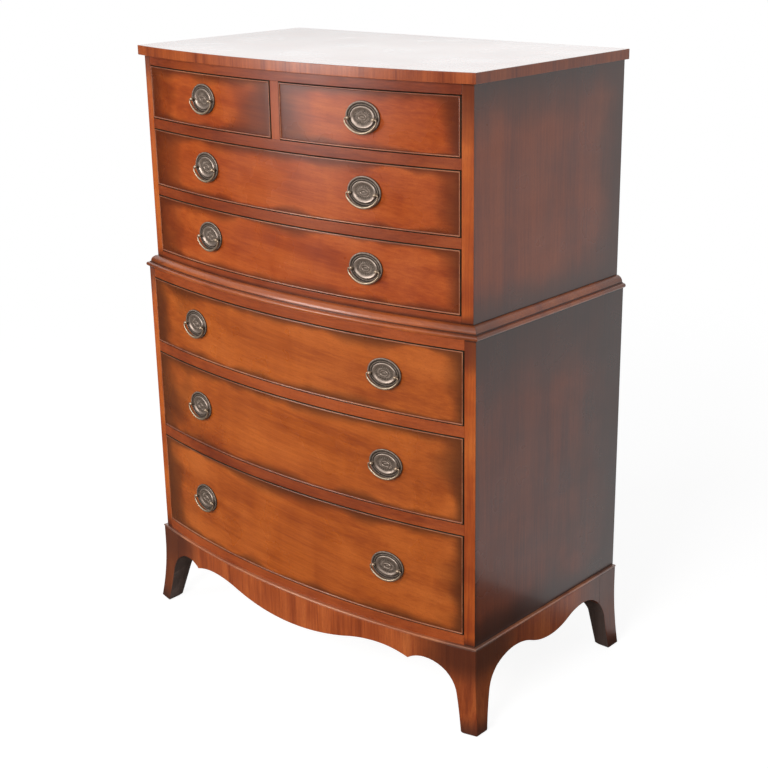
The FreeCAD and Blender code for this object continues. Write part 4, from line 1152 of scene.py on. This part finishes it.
def mitred_side(name, section, z):
    """The straight right-hand run of a moulding, from the back to the mitre."""
    run = draw_face(name, [(lower_half + out, back_y, z + up) for out, up in section])
    extrude((0, -620 * MM, 0))
    saw(run, mitre_in, mitre_front)
    return run


print("mitres pass x = %.1f, y = %.1f mm" % tuple(mitre_in.xy / MM))

# %% The three runs of the moulding
waist_runs = [mitred_front("waist", waist_section, waist_bottom, 80),
              mitred_side("waist_right", waist_section, waist_bottom)]
for run in waist_runs:
    finish_mesh(run, angle=30)
waist_runs.append(mirror_copy(waist_runs[1], "waist_left"))
waist_back = flat_board("waist_back", -waist_inner - lower_half, waist_inner + lower_half,
                        back_y - 50 * MM, back_y, waist_bottom, waist_top)
finish_mesh(waist_back, arris=0.4 * MM)
waist_back.data.materials.append(back_plywood)
for run in waist_runs:
    run.data.materials.append(moulding_mahogany)
waist = join("waist_moulding_runs", waist_runs + [waist_back])
dress(waist, "case", None, ["waist_moulding"])

# %% [markdown]
# ## The base
# The base is a frame of veneered aprons and four feet, with a small bead along its top edge. The
# outline under it is sawn with a fretsaw, so each board is shaped first and then a block of air
# is cut away from it with a Boolean.

# %% The main sizes of the base
base_proud = 7.2 * MM
base_half = lower_half + base_proud
base_radius = bow_radius + base_proud
apron_half = base_half - MM
apron_radius = base_radius - MM
base_corner_y = front_y(base_radius, base_half)
joint_x = base_half - 62.7 * MM
joint_y = base_corner_y + 68 * MM
back_joint_y = back_y - 59.7 * MM
splay, splay_height = 14 * MM, 150 * MM
sweep_radius = (splay_height ** 2 + splay ** 2) / (2 * splay)
foot_size = 35.5 * MM             # of the toe, on the floor
foot_inside = apron_half + splay - foot_size
leg_top = (foot_inside - 17 * MM, 80 * MM)
print("the feet sweep out on a radius of %.0f mm" % (sweep_radius / MM))

# %% Curves of a sawn outline


def level_arc(a, b, count=10):
    """Points of the arc from a to b that is level at a."""
    across, rise = b[0] - a[0], b[1] - a[1]
    radius = (across ** 2 + rise ** 2) / (2 * rise)
    full = math.atan2(abs(across), abs(radius) - abs(rise))
    turns = [full * i / count for i in range(count + 1)]
    return [(a[0] + math.copysign(abs(radius) * math.sin(t), across),
             a[1] + math.copysign(abs(radius) * (1 - math.cos(t)), rise)) for t in turns]


def ogee(a, b, share, count=10):
    """An S curve from a to b, level at both ends."""
    middle = (a[0] + share * (b[0] - a[0]), a[1] + share * (b[1] - a[1]))
    return level_arc(a, middle, count) + level_arc(b, middle, count)[::-1][1:]


def run_together(*stretches):
    """Joins stretches of an outline and leaves out the points where they meet twice."""
    points = []
    for stretch in stretches:
        points += [p for p in stretch if not points or math.dist(p, points[-1]) > 1e-6]
    return points


print("a level arc starts", level_arc((0, 0), (1, 1))[:2])

# %% The outlines under the base
arch = (base_half - 115 * MM, 143.6 * MM)
cusp = (base_half - 152.5 * MM, 131.4 * MM)
crest = (base_half - 226 * MM, 145.4 * MM)
half_front = run_together(
    [(foot_inside, -MM), (foot_inside, 0.0), leg_top], level_arc(arch, leg_top)[::-1],
    level_arc(arch, cusp, 6), level_arc(crest, cusp)[::-1],
    ogee(crest, (0.0, 113.4 * MM), 0.305, 14))
front_air = half_front + [(-x, z) for x, z in half_front[::-1][1:]]

tip = base_corner_y - splay + MM + foot_size
leg = (tip + 20.4 * MM, 82 * MM)
turn = (tip + 44.1 * MM, 122 * MM)
side_arch = (base_corner_y + 133 * MM, 144.8 * MM)
back_tip = back_y - foot_size
back_leg = (back_tip - 7.5 * MM, 85 * MM)
back_arch = (back_y - 121.5 * MM, 144.8 * MM)
drop = ((side_arch[0] + back_arch[0]) / 2, 117.2 * MM)
leg_turn = [tuple(p) for p in arc_points(leg, turn, 3.7 * MM, 6)]
side_air = run_together(
    [(tip, -MM), (tip, 0.0), leg], leg_turn, level_arc(side_arch, turn)[::-1],
    ogee(side_arch, drop, 0.45), ogee(drop, back_arch, 0.55), level_arc(back_arch, back_leg),
    [(back_tip, 0.0), (back_tip, -MM)])
edge_end = (leg_top[0] - 50 * MM, 122 * MM)
half_back = run_together([(foot_inside, -MM), (foot_inside, 0.0), leg_top],
                         level_arc(edge_end, leg_top)[::-1])
back_air = half_back + [(-x, z) for x, z in half_back[::-1]]
print("outline points: front %d, side %d, back %d"
      % (len(front_air), len(side_air), len(back_air)))

# %% Cutting air away


def air_block(outline, place, direction):
    """A closed block of air over an outline."""
    block = draw_face("air", [place(*point) for point in outline])
    extrude(direction)
    return finish_mesh(block)


def boolean(piece, tool, operation):
    take(piece)
    change = piece.modifiers.new("cut", "BOOLEAN")
    change.operation = operation
    change.object = tool
    change.solver = "EXACT"
    bpy.ops.object.modifier_apply(modifier=change.name)


front_tool = air_block(front_air, lambda x, z: (x, -450 * MM, z), (0, 450 * MM, 0))
side_tool = air_block(side_air, lambda y, z: (-700 * MM, y, z), (1400 * MM, 0, 0))
back_tool = air_block(back_air, lambda x, z: (x, MM, z), (0, 450 * MM, 0))
for tool in (front_tool, side_tool, back_tool):
    measure(tool)

# %% The aprons
bead_low = base_height - 5 * MM
apron_low = 90 * MM
front_apron = spun_board("front_apron_board", apron_radius, 19 * MM, -joint_x, joint_x,
                         apron_low, bead_low, 96)
finish_mesh(front_apron)
boolean(front_apron, front_tool, "DIFFERENCE")
finish_mesh(front_apron)
ease_edges(front_apron, 0.6 * MM, lambda co: abs(abs(co.x) - joint_x) < 0.05 * MM)
finish_mesh(front_apron)
dress(front_apron, "case", base_mahogany, ["front_apron"])

side_apron = flat_board("side_apron_right", apron_half - 20 * MM, apron_half, joint_y,
                        back_joint_y, apron_low, bead_low)
finish_mesh(side_apron)
boolean(side_apron, side_tool, "DIFFERENCE")
finish_mesh(side_apron)
ease_edges(side_apron, 0.6 * MM,
           lambda co: min(abs(co.y - joint_y), abs(co.y - back_joint_y)) < 0.05 * MM)
finish_mesh(side_apron)
side_aprons = join("side_apron_boards",
                   [side_apron, mirror_copy(side_apron, "side_apron_left")])
dress(side_aprons, "case", base_mahogany, ["side_aprons"])

# %% [markdown]
# A foot sweeps outwards below on both of its outer faces. The sweep is a profile that is spun on
# the front and straight on the side, and the foot is what the two have in common. Its toe is worn
# off at a slant all round, where it meets the floor.

# %% The shape of a foot
flare_turns = [math.asin(splay_height / sweep_radius) * i / 12 for i in range(13)]
flare = [(sweep_radius * (1 - math.cos(t)), splay_height - sweep_radius * math.sin(t))
         for t in flare_turns]
toe_wear = 4.5 * MM


def foot(name, y0, y1, tool, bowed):
    """A right-hand foot between two values of y."""
    profile = [(joint_x, 0.0), (joint_x, bead_low), (apron_half, bead_low)]
    profile += [(apron_half + out, z) for out, z in flare]
    post = draw_face(name, [(x, y0, z) for x, z in profile])
    extrude((0, y1 - y0, 0))
    finish_mesh(post)
    if bowed:
        section = [(apron_radius - 140 * MM, 0.0), (apron_radius - 140 * MM, bead_low),
                   (apron_radius, bead_low)] + [(apron_radius + out, z) for out, z in flare]
        sweep = spin_on_bow("sweep", section, 540 * MM, apron_radius, 90)
        finish_mesh(sweep)
        boolean(post, sweep, "INTERSECT")
        bpy.data.objects.remove(sweep)
    boolean(post, tool, "DIFFERENCE")
    boolean(post, side_tool, "DIFFERENCE")
    lean = math.asin(base_half / bow_radius) if bowed else 0.0
    toe_front = on_bow(apron_radius + splay, lean, toe_wear) if bowed else (0, back_tip, toe_wear)
    saw(post, (apron_half + splay, 0, toe_wear), (1, 0, -1))
    saw(post, (foot_inside, 0, toe_wear), (-1, 0, -1))
    saw(post, toe_front, (math.sin(lean), -math.cos(lean), -1))
    saw(post, (0, tip if bowed else back_y, toe_wear), (0, 1, -1))
    finish_mesh(post)
    end_y = joint_y if bowed else back_joint_y
    ease_edges(post, 0.8 * MM,
               lambda co: min(abs(co.x - joint_x), abs(co.y - end_y)) < 0.05 * MM)
    return finish_mesh(post)


print("a foot flares out over %.0f mm" % (splay_height / MM))

# %% The four feet


def on_show(normal, centre):
    """True on the outer faces of the base, which the finisher stained and lacquered."""
    outer_side = normal.x * centre.x > 0 and abs(normal.x) > 0.6 and abs(centre.x) > 0.455
    return outer_side or (normal.y < -0.6 and centre.y < -0.17)


front_foot = foot("front_foot_right", -420 * MM, joint_y, front_tool, True)
back_foot = foot("back_foot_right", back_joint_y, back_y, back_tool, False)
feet = join("swept_feet", [front_foot, back_foot, mirror_copy(front_foot, "front_foot_left"),
                           mirror_copy(back_foot, "back_foot_left")])
feet.data.materials.append(base_mahogany)
paint(feet, foot_inside_mahogany, lambda normal, centre: not on_show(normal, centre))
dress(feet, "case", None, ["feet"])
for tool in (front_tool, side_tool, back_tool):
    bpy.data.objects.remove(tool)

# %% The bead along the top of the base
base_section = [Vector((-6 * MM, 0.0)), Vector((-6 * MM, 5 * MM))]
base_section += half_round((4.7 * MM, 2.5 * MM), 2.4 * MM, 2.5 * MM, 8)
base_runs = [mitred_front("base_bead", base_section, bead_low, 80),
             mitred_side("base_bead_right", base_section, bead_low)]
for run in base_runs:
    finish_mesh(run, angle=30)
base_runs.append(mirror_copy(base_runs[1], "base_bead_left"))
base_bead = join("base_bead_runs", base_runs)
dress(base_bead, "case", base_bead_mahogany, ())

# %% [markdown]
# ## The pulls
# Each pull is an oval plate stamped from brass sheet, two turned posts and a cast bail. The plate
# is one oval face, extruded and scaled ring by ring from its rim to its middle, as the die would
# shape it. Beads and petals are small domes that are made once and copied round the oval.

# %% The stamped plate
plate_rings = [  # half width, half height and height of each ring, from the rim inwards
    (39.0, 30.5, 1.9), (38.7, 30.2, 2.5), (38.0, 29.5, 2.95), (36.6, 28.1, 3.0),
    (35.8, 27.3, 2.7), (35.2, 26.8, 1.6), (34.5, 26.2, 1.42), (33.1, 25.0, 1.42),
    (32.6, 24.6, 2.2), (32.0, 24.0, 2.5), (31.2, 23.3, 2.5), (30.6, 22.8, 2.2),
    (30.2, 22.5, 1.42), (28.9, 21.7, 1.42), (28.3, 21.3, 2.3), (27.6, 20.7, 3.4),
    (26.8, 20.0, 4.0), (25.8, 19.1, 4.05), (24.4, 17.9, 3.7), (22.8, 16.5, 3.15),
    (21.2, 15.1, 2.55), (19.9, 13.9, 2.1), (17.0, 11.6, 2.0), (13.0, 8.6, 2.2),
    (10.6, 6.6, 2.3), (9.9, 6.0, 2.35), (9.4, 5.6, 3.0), (8.6, 5.0, 3.4), (7.7, 4.4, 3.1),
    (7.1, 4.0, 2.3), (4.6, 2.4, 2.1), (3.8, 1.9, 2.5), (2.0, 1.0, 2.8)]


def stamped_plate():
    put_all_down()
    bpy.ops.mesh.primitive_circle_add(vertices=80, radius=1, fill_type="NGON",
                                      rotation=(math.radians(90), 0, 0))
    plate = bpy.context.object
    plate.name = "pull_plate"
    bpy.ops.object.transform_apply(location=True, rotation=True, scale=True)
    width, height, reached = 39.0, 30.5, 0.02
    bpy.ops.object.mode_set(mode="EDIT")
    bpy.ops.mesh.select_all(action="SELECT")
    bpy.ops.transform.resize(value=(width * MM, 1, height * MM))
    bpy.ops.transform.translate(value=(0, -reached * MM, 0))
    for new_width, new_height, level_out in plate_rings:
        extrude((0, -(level_out - reached) * MM, 0))
        bpy.ops.transform.resize(value=(new_width / width, 1, new_height / height))
        width, height, reached = new_width, new_height, level_out
    bpy.ops.mesh.poke()
    return plate


plate = stamped_plate()
print("the plate has", len(plate_rings), "rings")

# %% Beads and petals round the plate


def dome(name, radius, flat_x, flat_z, out):
    """A small round knob, half sunk in the plate, at the origin."""
    put_all_down()
    bpy.ops.mesh.primitive_uv_sphere_add(segments=8, ring_count=6, radius=1)
    knob = bpy.context.object
    knob.name = name
    bpy.ops.object.mode_set(mode="EDIT")
    bpy.ops.mesh.select_all(action="SELECT")
    bpy.ops.transform.resize(value=(radius * flat_x, radius * out, radius * flat_z))
    put_all_down()
    return knob


def ring_of(knob, count, half_width, half_height, height, radial):
    """Copies of a knob round an oval; radial ones point to the middle."""
    copies = []
    for i in range(count):
        a = 2 * math.pi * (i + 0.5) / count
        place = Vector((half_width * MM * math.cos(a), -height * MM,
                        half_height * MM * math.sin(a)))
        turn = Matrix.Rotation(-math.atan2(place.z, place.x), 4, "Y") if radial else Matrix()
        copy = another(knob, knob.name + "_copy")
        copy.data.transform(Matrix.Translation(place) @ turn)
        copies.append(copy)
    bpy.data.objects.remove(knob)
    return copies


relief = ring_of(dome("rim_bead", 0.75 * MM, 1, 1, 0.7), 72, 37.3, 28.8, 2.95, False)
relief += ring_of(dome("groove_bead", 0.6 * MM, 1, 1, 1.0), 60, 33.8, 25.6, 1.45, False)
relief += ring_of(dome("petal", 1.0 * MM, 3.2, 1.0, 0.9), 24, 14.0, 9.4, 2.1, True)
relief += ring_of(dome("small_petal", 0.8 * MM, 1.6, 0.9, 0.75), 24, 18.6, 12.9, 2.05, True)
plate = join("pull_plate", [plate] + relief)
plate.data.materials.append(plate_brass)
finish_mesh(plate, angle=40)
measure(plate)

# %% [markdown]
# The posts are turned, so half of their profile is drawn and spun about their own axis. Behind
# the drawer front each has a washer and a nut. The bail is a rod that swells towards its lowest
# point and follows the edge of the plate. Its ends turn in and pass through the posts. It is a
# path with a radius at each point, made a mesh.

# %% Posts, washers and nuts
post_x = 29.5 * MM
post_drop = 2.2 * MM              # the posts sit a little below the middle of the plate
pivot = 9.2 * MM
ball = 3.6 * MM


def turned_post():
    ball_turns = [math.radians(a) for a in range(0, 141, 14)]
    profile = [(ball * math.sin(a), -pivot - ball * math.cos(a)) for a in ball_turns]
    profile += [(2.2 * MM, -5.2 * MM), (2.9 * MM, -4.7 * MM), (3.7 * MM, -4.4 * MM),
                (3.7 * MM, -3.1 * MM), (2.2 * MM, -3.02 * MM), (2.2 * MM, 28 * MM),
                (0.0, 28 * MM)]
    piece = draw_face("post", [(x, y, 0) for x, y in profile])
    bpy.ops.mesh.delete(type="ONLY_FACE")
    bpy.ops.mesh.select_all(action="SELECT")
    bpy.ops.mesh.spin(steps=24, angle=2 * math.pi, center=(0, 0, 0), axis=(0, 1, 0))
    return finish_mesh(piece, angle=40)


def ring_nut(name, corners, radius, y0, depth):
    put_all_down()
    bpy.ops.mesh.primitive_cylinder_add(vertices=corners, radius=radius, depth=depth,
                                        rotation=(math.radians(90), 0, 0),
                                        location=(0, y0 + depth / 2, 0))
    piece = bpy.context.object
    piece.name = name
    bpy.ops.object.transform_apply(location=True, rotation=True, scale=True)
    return finish_mesh(piece, arris=0.25 * MM)


post = turned_post()
put_all_down()
bpy.ops.mesh.primitive_cylinder_add(vertices=24, radius=1.66 * MM, depth=12 * MM,
                                    rotation=(0, math.radians(90), 0), location=(0, -pivot, 0))
drill = bpy.context.object
boolean(post, drill, "DIFFERENCE")
bpy.data.objects.remove(drill)
finish_mesh(post, angle=40)
fixing = join("post", [post, ring_nut("washer", 24, 5.6 * MM, 20.35 * MM, MM),
                       ring_nut("nut", 6, 4.62 * MM, 21.35 * MM, 4 * MM)])
fixing.data.materials.append(bail_brass)
measure(fixing)

# %% The bail


def bail_path():
    """Points of the bail from pin to pin, each with its radius in millimetres."""
    pin_end_x, elbow_x = post_x - ball - 0.4 * MM, post_x + ball + 0.6 * MM
    drop, elbow, end = 26.5 * MM, 2.5 * MM, 14 * MM
    half_width, depth = elbow_x + elbow, drop - elbow
    main = (half_width ** 2 + depth ** 2 - 2 * half_width * end) / (2 * (depth - end))
    main_z, end_x = main - drop, half_width - end
    # the main curve and the end curve meet where they have the same slope
    touch = math.atan2(end_x, main_z + elbow)
    half = [(pin_end_x, 0.0, 1.55), (pin_end_x + 0.1 * MM, 0.0, 1.6), (post_x, 0.0, 1.6),
            (elbow_x - 0.1 * MM, 0.0, 1.6)]
    for i in range(1, 6):
        turn = math.pi / 2 * i / 6
        half.append((elbow_x + elbow * math.sin(turn), elbow * math.cos(turn) - elbow, 1.6))
    steps = [math.pi / 2 - (math.pi / 2 - touch) * i / 8 for i in range(8)]
    steps += [touch - touch * i / 18 for i in range(19)]
    for turn in steps:
        x, z, radius = (end_x, -elbow, end) if turn > touch else (0.0, main_z, main)
        half.append((x + radius * math.sin(turn), z - radius * math.cos(turn),
                     1.6 + 0.9 * math.cos(turn)))
    return half + [(-x, z, radius) for x, z, radius in half[-2::-1]]


put_all_down()
bpy.ops.curve.primitive_nurbs_path_add()
bail = bpy.context.object
bail.name = "bail"
bail.data.splines.clear()
path = bail_path()
rod = bail.data.splines.new("POLY")
rod.points.add(len(path) - 1)
for point, (x, z, radius) in zip(rod.points, path):
    point.co = (x, -pivot, z, 1)
    point.radius = radius
bail.data.bevel_depth = MM
bail.data.bevel_resolution = 5
bail.data.use_fill_caps = True
bail.data.twist_mode = "Z_UP"
bpy.ops.object.convert(target="MESH")
finish_mesh(bail, angle=40)
measure(bail)

# %% [markdown]
# The pulls sit square on the bow, so each copy is turned with the front where it stands. Before
# that, the height of every point above the plate's back is written into an attribute, which
# the patina reads.

# %% Setting the pulls on the drawers


def write_relief(piece, low, high):
    """Stores how far each point stands out, as a share from 0 to 1."""
    mesh = piece.data
    layer = mesh.attributes.new("relief", "FLOAT", "POINT")
    layer.data.foreach_set("value", [min(1.0, max(0.0, (-v.co.y - low) / (high - low)))
                                     for v in mesh.vertices])


handle_rise = 4 * MM              # above the middle of its drawer
write_relief(plate, 1.4 * MM, 3.7 * MM)
write_relief(fixing, 2 * MM, 12 * MM)
write_relief(bail, 6.4 * MM, 12 * MM)
for name, part, x0, x1, level_index, handles in drawers:
    radius = upper_radius if part == "upper" else bow_radius
    levels = upper_levels if part == "upper" else lower_levels
    z = (levels[level_index] + levels[level_index + 1]) / 2 + handle_rise - post_drop
    pull_parts = []
    for handle in handles:
        x = handle * MM
        seat = Matrix.Translation((x, front_y(radius, x), z)) @ Matrix.Rotation(
            math.asin(x / radius), 4, "Z")
        for part_piece, offset, rise in ((plate, 0, post_drop), (fixing, -post_x, 0),
                                         (fixing, post_x, 0)):
            copy = another(part_piece, name + "_pull")
            copy.data.transform(seat @ Matrix.Translation((offset, 0, rise)))
            pull_parts.append(copy)
        hand = "" if len(handles) == 1 else ("_left" if handle < 0 else "_right")
        swinging = another(bail, name + hand + "_bail_rod")
        swinging.data.transform(seat)
        body = name + hand + "_bail"
        dress(swinging, body, bail_brass, [body])
    pulls = join(name + "_plates", pull_parts)
    dress(pulls, name, plate_brass, [name + "_pulls"])
for model in (plate, fixing, bail):
    bpy.data.objects.remove(model)

# %% [markdown]
# ## What stays as it came
# Boxes, bottoms, runners, dust boards, stops, blocks, screws and the back are flat boards whose
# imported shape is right. They only get their finish.

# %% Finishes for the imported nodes
plain_finishes = {
    "back_panels": back_plywood, "back_apron": back_plywood, "upper_drawer_runners": frame_wood,
    "lower_drawer_runners": frame_wood, "dust_boards": frame_wood, "drawer_stops": frame_wood,
    "corner_blocks": frame_wood, "screws": screw_steel}
for name, *_ in drawers:
    plain_finishes[name + "_box"] = drawer_side_wood
    plain_finishes[name + "_bottom"] = cross_wood
for name, material in plain_finishes.items():
    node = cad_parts[name]
    node.data.materials.clear()
    node.data.materials.append(material)
print("finished", len(plain_finishes), "packed nodes")
